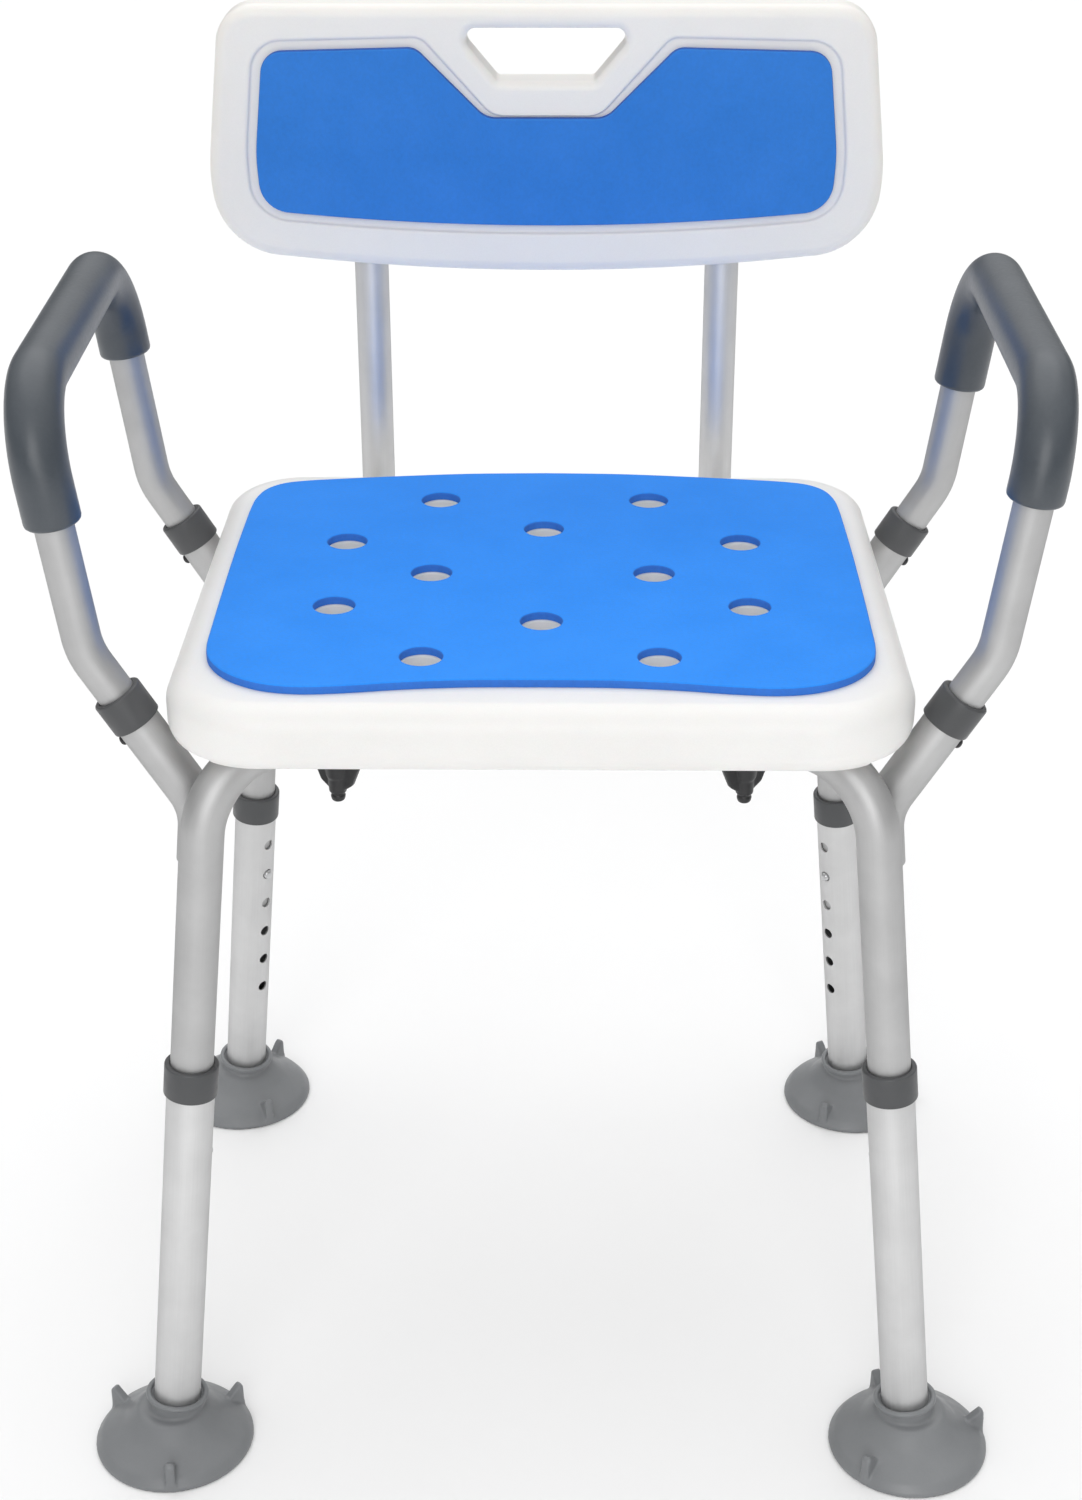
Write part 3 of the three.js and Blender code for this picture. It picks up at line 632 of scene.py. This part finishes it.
def bead(name, points, radius, closed=False):
    """A weld bead: a thin rope of overlapping ripples."""
    stations = []
    count = len(points)
    for i, p in enumerate(points):
        before = points[i - 1] if closed or i else points[0]
        after = points[(i + 1) % count] if closed or i + 1 < count else points[-1]
        stations.append((p, (after - before).normalized()))
    rings = []
    travelled = 0.0
    for i, (p, _, x, y) in enumerate(frames(stations)):
        travelled += (p - points[i - 1]).length if i else 0.0
        ripple = abs(math.sin(travelled * math.pi / 2.2))
        size = radius * (0.86 + 0.16 * ripple)
        if not closed:
            size *= math.sqrt(max(0.05, 1 - abs(2 * i / (count - 1) - 1) ** 6))
        rings.append(circle(p, x, y, size, 14))
    return loft(name, rings, loop=closed)


def make_frame():
    fl, fr, rl, rr = (LEGS[t] for t in ("fl", "fr", "rl", "rr"))
    path = bent(fl.at(UPPER_START), [(fl.corner, CORNER_BEND), (rr.corner, CORNER_BEND)], rr.at(UPPER_START))
    finish_piece(tube("look_frame_tube_long", path, UPPER_OD / 2, UPPER_ID / 2, sides=64), "frame_tube_long")
    along = vec(rr.corner.x, rr.corner.y, 0).normalized()
    for tag, leg in (("fr", fr), ("rl", rl)):
        path = bent(leg.at(UPPER_START), [(leg.corner, CORNER_BEND)], vec(0, 0, CORNER[2]))
        piece = tube(f"look_frame_tube_{tag}", path, UPPER_OD / 2, UPPER_ID / 2, sides=64)
        notch = rod("notch", vec(0, 0, CORNER[2]), along, -60, 60, UPPER_OD / 2 + 0.05, 64)
        finish_piece(carve(piece, [notch]), f"frame_tube_{tag}")
        points = crossing(along, vec(leg.corner.x, leg.corner.y, 0).normalized())
        add_trim(bead(f"weld_cross_{tag}", points, 1.9, closed=True), f"frame_tube_{tag}")


def crossing(along, branch):
    """The curve where a branch tube meets the side of a tube of the same size."""
    radius = UPPER_OD / 2
    side = UP.cross(along)
    if side.dot(branch) < 0:
        side = -side
    cross = UP.cross(branch)
    points = []
    for k in range(96):
        angle = 2 * math.pi * k / 96
        reach = radius * abs(math.cos(angle)) - radius * math.cos(angle) * cross.dot(side)
        reach /= branch.dot(side)
        p = cross * (radius * math.cos(angle)) + UP * (radius * math.sin(angle)) + branch * reach
        points.append(p + vec(0, 0, CORNER[2]))
    return points


def make_socket(tag):
    leg, socket = LEGS[tag], SOCKETS[tag]
    low = socket.beside(leg, SOCKET_FOOT_Z)
    path = bent(low, [(socket.knee, SOCKET_BEND)], socket.at(SOCKET_TOP_Z))
    bore = ARM_OD / 2 + GAP
    piece = tube(f"look_arm_socket_{tag}", path, UPPER_OD / 2, bore, edge=0.4, sides=56, floor=1.5)
    holes = [rod("hole", socket.at(ARM_BUTTON_Z), socket.out, 6, 20, HOLE_R)]
    finish_piece(carve(piece, holes), f"arm_socket_{tag}")
    across = leg.at(low.z / leg.up.z) - low
    across -= leg.up * across.dot(leg.up)
    aside = across.cross(leg.up).normalized()
    for side in (-1, 1):
        start = low + across * 0.5 + aside * (6.4 * side) + leg.up * 2.5
        points = [start + leg.up * (21 * k / 40) for k in range(41)]
        add_trim(bead(f"weld_socket_{tag}_{'a' if side < 0 else 'b'}", points, 2.9), f"arm_socket_{tag}")


def collar_profile(bore, outer, lip, low, high, shoulder):
    corners = [
        (bore, low, 0.2),
        (outer, low, 0.9),
        (outer, high, 1.3),
        (lip, high, 0.5),
        (lip, shoulder, 0),
        (bore, shoulder, 0),
    ]
    return [(p.x, p.y) for p in fillet(corners, 4)]


def make_socket_collar(tag):
    socket = SOCKETS[tag]
    profile = collar_profile(UPPER_OD / 2 + 0.15, 14.6, ARM_OD / 2 + GAP, -19, 1.5, GAP)
    piece = lathe(f"look_arm_socket_collar_{tag}", profile, socket.at(SOCKET_TOP_Z), socket.dir, loop=True)
    finish_piece(piece, f"arm_socket_collar_{tag}")


# ---- lower legs ------------------------------------------------------------


def make_lower_leg(tag):
    leg = LEGS[tag]
    piece = straight(
        f"look_leg_tube_{tag}", leg.at(LOWER_START), leg.at(LOWER_END),
        LOWER_OD / 2, LOWER_ID / 2, sides=72,
    )
    holes = [
        rod("hole", leg.at(FIRST_HOLE - i * HOLE_PITCH), leg.inward, 6, 20, HOLE_R)
        for i in range(HOLES)
    ]
    finish_piece(carve(piece, holes), f"leg_tube_{tag}", "pale_aluminium")
    profile = collar_profile(LOWER_OD / 2 + 0.15, 16.1, UPPER_OD / 2 + GAP, GAP - 18.5, 2, GAP)
    collar = lathe(f"look_leg_collar_{tag}", profile, leg.at(LOWER_END), leg.up, loop=True)
    finish_piece(collar, f"leg_collar_{tag}")
    button = snap_button(f"look_leg_button_{tag}", leg.at(BUTTON_AT), leg.inward, 9.6, 16.6)
    finish_piece(button, f"leg_button_{tag}")


def snap_button(name, origin, axis, flange, tip):
    corners = [
        (0, flange - 1.2, 0),
        (4.6, flange - 1.2, 0.3),
        (4.6, flange, 0.3),
        (3.3, flange, 0.2),
        (3.3, tip, 2.2),
        (0, tip, 0),
    ]
    return lathe(name, [(p.x, p.y) for p in fillet(corners, 6, closed=False)], origin, axis, 32)


TAB_TURNS = {
    "fl": (150, 35, -85),
    "fr": (110, 10, -130),
    "rl": (60, 175, -60),
    "rr": (115, 0, -120),
}


def make_foot(tag):
    leg = LEGS[tag]
    cup = [
        (0, 5, 0),
        (26, 5, 6),
        (41, 0, 2),
        (49.2, 0, 0.3),
        (49.2, 2.6, 1.2),
        (45.3, 7.6, 6),
        (31, 17.6, 20),
        (21, 27.5, 6),
        (0, 27.5, 0),
    ]
    parts = [lathe("cup", [(p.x, p.y) for p in fillet(cup, 6, closed=False)], leg.foot, UP, 96)]
    neck = [
        (0, 14, 0),
        (19, 14, 2),
        (16.8, 24, 6),
        (17.8, 35, 1.4),
        (15.2, 35.2, 0.6),
        (14.5, 33.5, 0.2),
        (0, 33.5, 0),
    ]
    parts.append(lathe("neck", [(p.x, p.y) for p in fillet(neck, 4, closed=False)], leg.foot, leg.up, 72))
    for degrees in TAB_TURNS[tag]:
        parts.append(pull_tab(leg, degrees))
    voxel = 0.9
    finish_piece(fuse(f"look_foot_{tag}", parts, voxel, 6), f"foot_{tag}", angle=60)
    turns = [2 * math.pi * k / 16 for k in range(16)]
    lip = [(17.7 + 1.8 * math.cos(t), 35.2 + 1.8 * math.sin(t)) for t in turns]
    add_trim(lathe(f"foot_lip_{tag}", lip, leg.foot, leg.up, 72, loop=True), f"foot_{tag}")


def pull_tab(leg, degrees):
    """A fin on the cup's shoulder, highest near the rim."""
    corners = [(32, 9, 0.5), (49, 3, 0.5), (48.6, 19, 1.4), (46, 21.5, 1)]
    side = [Vector((p.x, p.y)) for p in fillet(corners, 3)]
    turn = Matrix.Rotation(math.radians(degrees), 3, "Z")
    rings = []
    for y, inset in ((-3, 1.2), (-2.2, 0.2), (2.2, 0.2), (3, 1.2)):
        rings.append([turn @ vec(p.x, y, p.y) + leg.foot for p in shifted(side, inset)])
    return loft("tab", rings)


# ---- arms ------------------------------------------------------------------


def arm_corners(sx):
    def at(spot, y):
        return vec(sx * spot[0], y, spot[1])

    return [
        (at(ARM_KNEE, -ARM_Y), ARM_KNEE_BEND),
        (at(ARM_TOP, -ARM_Y), ARM_TOP_BEND),
        (at(ARM_TOP, ARM_Y), ARM_TOP_BEND),
        (at(ARM_KNEE, ARM_Y), ARM_KNEE_BEND),
    ]


def on_upright(sx, y, z):
    share = (z - ARM_KNEE[1]) / (ARM_TOP[1] - ARM_KNEE[1])
    return vec(sx * (ARM_KNEE[0] + share * (ARM_TOP[0] - ARM_KNEE[0])), y, z)


def make_arm(side, front, rear):
    sx = QUARTERS[front][0]
    ends = [SOCKETS[t].root - SOCKETS[t].dir * ARM_INSERT for t in (front, rear)]
    path = bent(ends[0], arm_corners(sx), ends[1])
    piece = tube(f"look_arm_tube_{side}", path, ARM_OD / 2, ARM_ID / 2, sides=56)
    holes = [rod("hole", SOCKETS[t].at(ARM_BUTTON_Z), SOCKETS[t].out, 6, 20, HOLE_R) for t in (front, rear)]
    finish_piece(carve(piece, holes), f"arm_tube_{side}")
    start = on_upright(sx, -ARM_Y, GRIP_ENDS[side][0])
    end = on_upright(sx, ARM_Y, GRIP_ENDS[side][1])
    path = bent(start, arm_corners(sx)[1:3], end, math.radians(3))
    grip = tube(f"look_arm_grip_{side}", path, GRIP_R, ARM_OD / 2 + 0.15, edge=2.6, sides=64)
    finish_piece(grip, f"arm_grip_{side}")
    for t in (front, rear):
        button = snap_button(f"look_arm_button_{t}", SOCKETS[t].at(ARM_BUTTON_Z), SOCKETS[t].out, 8.2, 15.3)
        finish_piece(button, f"arm_button_{t}")


# ---- seat ------------------------------------------------------------------


def seat_outline():
    w, r = SEAT_HALF_W, SEAT_CORNER_R
    corners = [
        (w, -SEAT_FRONT, r),
        (w - 4, SEAT_REAR, r - 6),
        (4 - w, SEAT_REAR, r - 6),
        (-w, -SEAT_FRONT, r),
    ]
    return fillet(corners, 20)


def make_seat_board():
    board = slab(
        "look_seat_board", seat_outline(), SEAT_BOTTOM_Z, SEAT_TOP_Z, SEAT_ROUND, SEAT_ROUND, flat, 12
    )
    cutters = [
        opening("drain", round_outline(x, y, DRAIN_R), SEAT_BOTTOM_Z, SEAT_TOP_Z, 3.5, 1.2, flat)
        for x, y in DRAINS
    ]
    cutters += [channel(tag) for tag in ("rr", "fr")]
    even_faces(finish_piece(carve(board, cutters), "seat_board"))


def channel(tag):
    """Cutter for a tube's channel under the seat, with rounded lips."""
    sx, sy = QUARTERS[tag]
    along = vec(sx * CORNER[0], sy * CORNER[1], 0).normalized()
    across = UP.cross(along)
    top = CORNER[2] + UPPER_OD / 2 + GAP
    half = UPPER_OD / 2 + 0.7
    lip = 2.2
    section = [(-half - lip, SEAT_BOTTOM_Z - 3)]
    for k in range(6):
        turn = math.pi / 2 * k / 5
        section.append((-half - lip * (1 - math.sin(turn)), SEAT_BOTTOM_Z + lip * (1 - math.cos(turn))))
    section.append((-half, top))
    section += [(-a, h) for a, h in reversed(section)]
    rings = [[along * reach + across * a + UP * h for a, h in section] for reach in (-320, 320)]
    return loft("channel", rings)


def spline(points, steps):
    """Catmull-Rom curve through the points."""
    curve = []
    last = len(points) - 1
    for i in range(last):
        p0, p1, p2, p3 = (points[max(0, min(last, j))] for j in (i - 1, i, i + 1, i + 2))
        for k in range(steps):
            t = k / steps
            a, b = (p2 - p0) * 0.5, (p3 - p1) * 0.5
            curve.append((2 * p1 - 2 * p2 + a + b) * t**3 + (3 * p2 - 3 * p1 - 2 * a - b) * t**2 + a * t + p1)
    curve.append(points[-1])
    return curve


def pad_outline():
    right = [
        (0, -146.5), (40, -147), (75, -150), (105, -154.5), (130, -156.5), (150, -153.5),
        (166, -145.5), (178, -134), (186, -119), (189, -102), (189.4, -75), (189.5, -30), (189.2, 30),
        (188.4, 75), (187.6, 103), (186, 121), (181, 136), (171, 146), (156, 151), (130, 155),
        (95, 159.5), (50, 164), (0, 165.5),
    ]
    half = spline([Vector(p) for p in right], 5)
    return half + [Vector((-p.x, p.y)) for p in reversed(half[1:-1])]


def shaded_cut_edges(obj, name, axis):
    """Gives the cut sides of a foam sheet their own look: open cells, and a darker colour that is painted
    shade of the sides.
    """
    obj.data.materials.append(LOOKS[name])
    for face in obj.data.polygons:
        face.material_index = 1 if abs(face.normal.dot(axis)) < 0.6 else 0


def make_seat_pad():
    low = SEAT_TOP_Z + 0.1
    pad = slab("look_seat_pad", pad_outline(), low, low + SEAT_PAD_T, 0.3, 1.5, flat, 5)
    cutters = [
        opening("drain", round_outline(x, y, DRAIN_R), low, low + SEAT_PAD_T, 0.3, 1.0, flat, 4)
        for x, y in DRAINS
    ]
    finish_piece(carve(pad, cutters), "seat_pad", angle=50)
    shaded_cut_edges(pad, "seat_foam_cut_painted_shade", UP)
    even_faces(pad)


# ---- back ------------------------------------------------------------------


def mirrored(right):
    return right + [(-x, z, r) for x, z, r in reversed(right)]


def densify(points, counts):
    result = []
    for i, p in enumerate(points):
        after = points[(i + 1) % len(points)]
        result += [p.lerp(after, k / counts[i]) for k in range(counts[i])]
    return result


def edge_counts(points, step):
    return [
        max(1, round((points[(i + 1) % len(points)] - p).length / step)) for i, p in enumerate(points)
    ]


def bowed(points, bow, half_width, base):
    result = []
    for p in points:
        share = min(1, abs(p.x) / half_width)
        drop = bow * (1 - share * share) if p.y <= base else 0
        result.append(Vector((p.x, p.y - drop)))
    return result


def panel_outline():
    points = fillet(mirrored([(211, 644, 46), (216.5, 700, 120), (205, 804.5, 26)]), 14)
    return bowed(densify(points, edge_counts(points, 8)), 9.5, 170, 646)


def slot_outline():
    return fillet(mirrored([(30.5, 757.4, 4), (52, 783, 7), (47, 790, 5)]), 8)


def back_pad_corners(g):
    return mirrored([
        (183 + g, 674.5 - g, 20 + g),
        (185 + g, 712, 120),
        (178 + g, 776.5 + g, 14 + g),
        (82 - g * 0.6, 779 + g, 12),
        (38 - g * 0.6, 735.2 + g * 0.2, 16),
    ])


BACK_PAD_COUNTS = edge_counts(fillet(back_pad_corners(0), 10), 8)


def back_pad_outline(g):
    return bowed(densify(fillet(back_pad_corners(g), 10), BACK_PAD_COUNTS), 8, 165, 676)


def make_back_panel():
    rear = PANEL_FRONT + PANEL_T
    panel = slab("look_back_panel", panel_outline(), PANEL_FRONT, rear, PANEL_ROUND, PANEL_ROUND, stood, 10)
    slot = opening("slot", slot_outline(), PANEL_FRONT, rear, 5.5, 5.5, stood, 8)
    steps = ((8.6, 0, -3), (8.6, 0, 0), (7.4, 0.12, 0), (6.6, 0.45, 0), (6.15, 0.95, 0), (6, 1.4, 0),
             (5.7, 1.85, 0), (5.1, 2.12, 0), (4.4, RECESS_DEPTH, 0))
    rings = [
        [stood(p, PANEL_FRONT + depth + extra) for p in back_pad_outline(g)]
        for g, depth, extra in steps
    ]
    pocket = loft("pocket", rings)
    cutters = [slot, pocket] + [tube_slot(sx) for sx in (-1, 1)]
    # The panel takes the lighter, warmer copy of white plastic: painted light for its shade and the blue
    # bounce from the pads.
    even_faces(finish_piece(carve(panel, cutters), "back_panel", "panel_plastic_painted_light"))


def tube_slot(sx):
    """Cutter for the groove up the rear of the panel that takes a back tube."""
    radius = BACK_OD / 2 + GAP
    x = sx * BACK_X
    section = []
    for k in range(25):
        turn = math.pi + math.pi * k / 24
        section.append((radius * math.cos(turn), radius * math.sin(turn)))
    lip = 1.5
    rear = PANEL_FRONT + PANEL_T - BACK_Y
    for k in range(5, -1, -1):
        turn = math.pi / 2 * k / 5
        section.append((radius + lip * (1 - math.sin(turn)), rear - lip * (1 - math.cos(turn))))
    section.append((radius + lip, rear + 6))
    section += [(-radius - lip, rear + 6)]
    for k in range(6):
        turn = math.pi / 2 * k / 5
        section.append((-radius - lip * (1 - math.sin(turn)), rear - lip * (1 - math.cos(turn))))
    rings = [[vec(x + a, BACK_Y + b, z) for a, b in section] for z in (600, BACK_TOP_Z + GAP)]
    return loft("groove", rings)


def make_back_pad():
    front = PANEL_FRONT + RECESS_DEPTH - 0.1 - BACK_PAD_T
    pad = slab("look_back_pad", back_pad_outline(0), front, front + BACK_PAD_T, 1.4, 0.3, stood, 5)
    finish_piece(pad, "back_pad", angle=50)
    shaded_cut_edges(pad, "back_foam_cut_painted_shade", vec(0, 1, 0))
    even_faces(pad)


def make_back_tube(side, sx):
    start = vec(sx * BACK_X, BACK_FRONT_END, BACK_LOW_Z)
    heel = (vec(sx * BACK_X, BACK_Y, BACK_LOW_Z), BACK_BEND)
    path = bent(start, [heel], vec(sx * BACK_X, BACK_Y, BACK_TOP_Z))
    piece = tube(f"look_back_tube_{side}", path, BACK_OD / 2, BACK_ID / 2, sides=56)
    finish_piece(piece, f"back_tube_{side}", "pale_aluminium")
    screw = screw_piece(
        f"look_back_panel_screw_{side}", vec(sx * BACK_X, BACK_Y + BACK_OD / 2 + GAP, PANEL_SCREW_Z),
        vec(0, 1, 0), 4.5, 2.6, 2.0, 29,
    )
    finish_piece(screw, f"back_panel_screw_{side}")


def screw_piece(name, seat, axis, head_r, head_h, shank_r, shank):
    """A pan-head screw with a cross recess. The head stands on the seat along the axis."""
    corners = [
        (0, -shank, 0),
        (shank_r, -shank, 0.4),
        (shank_r, 0, 0),
        (head_r, 0, 0.2),
        (head_r, head_h, head_h * 0.75),
        (0, head_h, 0),
    ]
    piece = lathe(name, [(p.x, p.y) for p in fillet(corners, 6, closed=False)], seat, axis, 40)
    x = axis.orthogonal().normalized()
    y = axis.cross(x)
    cutters = []
    for a, b in ((x, y), (y, x)):
        rings = []
        for h, reach, wide in ((head_h * 0.3, head_r * 0.3, 0.35), (head_h + 1, head_r * 0.62, 0.5)):
            middle = seat + axis * h
            ends, sides = a * reach, b * wide
            rings.append([middle + ends * u + sides * v for u, v in ((1, 1), (-1, 1), (-1, -1), (1, -1))])
        cutters.append(loft("cross", rings))
    return carve(piece, cutters)


def make_bracket(side, sx):
    x = sx * BACK_X
    top = SEAT_BOTTOM_Z - 0.1
    plate = fillet([(x + 23, -11 + BRACKET_Y, 4), (x + 23, 11 + BRACKET_Y, 4), (x - 23, 11 + BRACKET_Y, 4),
                    (x - 23, -11 + BRACKET_Y, 4)], 6)
    block = slab(f"look_back_bracket_{side}", plate, top - 6, top, 1.2, 0.4, flat, 4)
    half, low = 14.25, 421
    saddle = fillet(
        [(x + half, low, 7), (x + half, top - 1, 0.3), (x - half, top - 1, 0.3), (x - half, low, 7)], 8
    )
    body = slab("saddle", saddle, BRACKET_Y - 11, BRACKET_Y + 11, 1.2, 1.2, stood, 4)
    carve(block, [body], "UNION")
    bore = rod("bore", vec(x, 0, BACK_LOW_Z), vec(0, 1, 0), 130, 180, BACK_OD / 2 + GAP, 56)
    finish_piece(carve(block, [bore]), f"back_bracket_{side}")


def make_bracket_screws():
    index = 1
    for sx in (-1, 1):
        for dx in (-18, 18):
            seat = vec(sx * BACK_X + dx, BRACKET_Y, SEAT_BOTTOM_Z - 6.2)
            screw = screw_piece(f"look_bracket_screw_{index}", seat, -UP, 3.6, 2.4, 1.8, 21)
            finish_piece(screw, f"bracket_screw_{index}")
            index += 1


# ---- wing screws -----------------------------------------------------------


def make_wing_screw(tag):
    sx, sy = QUARTERS[tag]
    front = sy < 0
    x, y = FRONT_SCREW if front else REAR_SCREW
    top = CORNER[2] - UPPER_OD / 2 - GAP if front else BACK_LOW_Z - BACK_OD / 2 - GAP
    spot = vec(sx * x, y, 0)
    corners = [
        (0, top - 37, 0),
        (3.7, top - 37, 2),
        (4.5, top - 33.5, 0.8),
        (3.7, top - 32, 0.6),
        (5.2, top - 30.5, 0.8),
        (5.6, top - 22, 1),
        (6.6, top - 20, 1),
        (8, top - 8, 2),
        (8.6, top, 0.6),
        (0, top, 0),
    ]
    hub = lathe("hub", [(p.x, p.y) for p in fillet(corners, 4, closed=False)], spot, UP, 48)
    right = [(4.6, -29.5, 1.5), (10.6, -25, 4), (15.5, -13, 4), (16, -0.6, 2.5)]
    wing = fillet(right + [(0, -0.6, 0)] + [(-a, b, r) for a, b, r in reversed(right)], 4)
    turn = Matrix.Rotation(math.radians(sx * sy * -28), 3, "Z")
    rings = []
    for depth, inset in ((-2.3, 1.0), (-1.7, 0.1), (1.7, 0.1), (2.3, 1.0)):
        rings.append([turn @ vec(p.x, depth, p.y + top) + spot for p in shifted(wing, inset)])
    parts = [hub, loft("wings", rings)]
    body = fuse(f"look_wing_screw_{tag}", parts, 0.5, 4)
    finish_piece(body, f"wing_screw_{tag}", angle=60)
    stud = straight(f"stud_{tag}", spot + UP * (top - 2), spot + UP * 489.8, 3, edge=0.5, sides=24)
    add_trim(stud, f"wing_screw_{tag}", "steel")


# ---- stage -----------------------------------------------------------------


def make_stage():
    mesh = bpy.data.meshes.new("floor")
    size = 6.0
    corners = [(-size, -size, 0), (size, -size, 0), (size, size, 0), (-size, size, 0)]
    mesh.from_pydata(corners, [], [(0, 1, 2, 3)])
    floor = link("floor", mesh)
    material, *_ = blank_material("floor", {"Roughness": 0.75, "Base Color": (0.94, 0.94, 0.942, 1)})
    floor.data.materials.append(material)


def add_light(name, kind, toward, power):
    """A lamp that shines along a direction."""
    data = bpy.data.lights.new(name, kind)
    data.energy = power
    light = bpy.data.objects.new(name, data)
    SCENE.collection.objects.link(light)
    light.rotation_mode = "QUATERNION"
    light.rotation_quaternion = (-Vector(toward)).to_track_quat("Z", "Y")
    return light


def sun(name, toward, strength, spread):
    """A broad soft light. A wider spread gives softer shadows."""
    light = add_light(name, "SUN", toward, strength)
    light.data.angle = math.radians(spread)


def near_light(name, spot, target, size, power):
    """A square soft box that stands at a spot and faces a target."""
    light = add_light(name, "AREA", Vector(target) - Vector(spot), power)
    light.data.size = size
    light.location = spot


def make_world():
    """A room that is brighter overhead than at the horizon, with a pale backdrop."""
    world = bpy.data.worlds.new("studio")
    SCENE.world = world
    world.use_nodes = True
    tree = world.node_tree
    heading = node(tree, "SeparateXYZ")
    tree.links.new(node(tree, "TexCoord").outputs["Generated"], heading.inputs["Vector"])
    glow = node(tree, "MapRange", {"From Min": 0.05, "From Max": 0.75, "To Min": 0.14, "To Max": 0.85})
    tree.links.new(heading.outputs["Z"], glow.inputs["Value"])
    seen = node(tree, "Math", {1: 0.97}, operation="MULTIPLY")
    tree.links.new(node(tree, "LightPath").outputs["Is Camera Ray"], seen.inputs[0])
    brightest = node(tree, "Math", operation="MAXIMUM")
    tree.links.new(glow.outputs["Result"], brightest.inputs[0])
    tree.links.new(seen.outputs["Value"], brightest.inputs[1])
    sky = tree.nodes["Background"]
    sky.inputs["Color"].default_value = (1, 1, 1, 1)
    tree.links.new(brightest.outputs["Value"], sky.inputs["Strength"])


def make_lights():
    make_world()
    sun("overhead", (0.06, -0.35, -1), 0.86, 70)
    sun("front", (0.10, 1, -0.42), 0.72, 36)
    sun("rear", (-0.2, -1, -0.6), 0.25, 60)
    near_light("near", (0, -1.25, 0.6), (0, 0, 0.42), 0.6, 1.2)
    SCENE.view_settings.view_transform = "Standard"


# ---- assembly --------------------------------------------------------------

make_frame()
for tag in QUARTERS:
    make_socket(tag)
    make_socket_collar(tag)
    make_lower_leg(tag)
    make_foot(tag)
    make_wing_screw(tag)
make_arm("left", "fl", "rl")
make_arm("right", "fr", "rr")
make_seat_board()
make_seat_pad()
make_back_panel()
make_back_pad()
for side, sx in (("left", -1), ("right", 1)):
    make_back_tube(side, sx)
    make_bracket(side, sx)
make_bracket_screws()
make_stage()
make_lights()
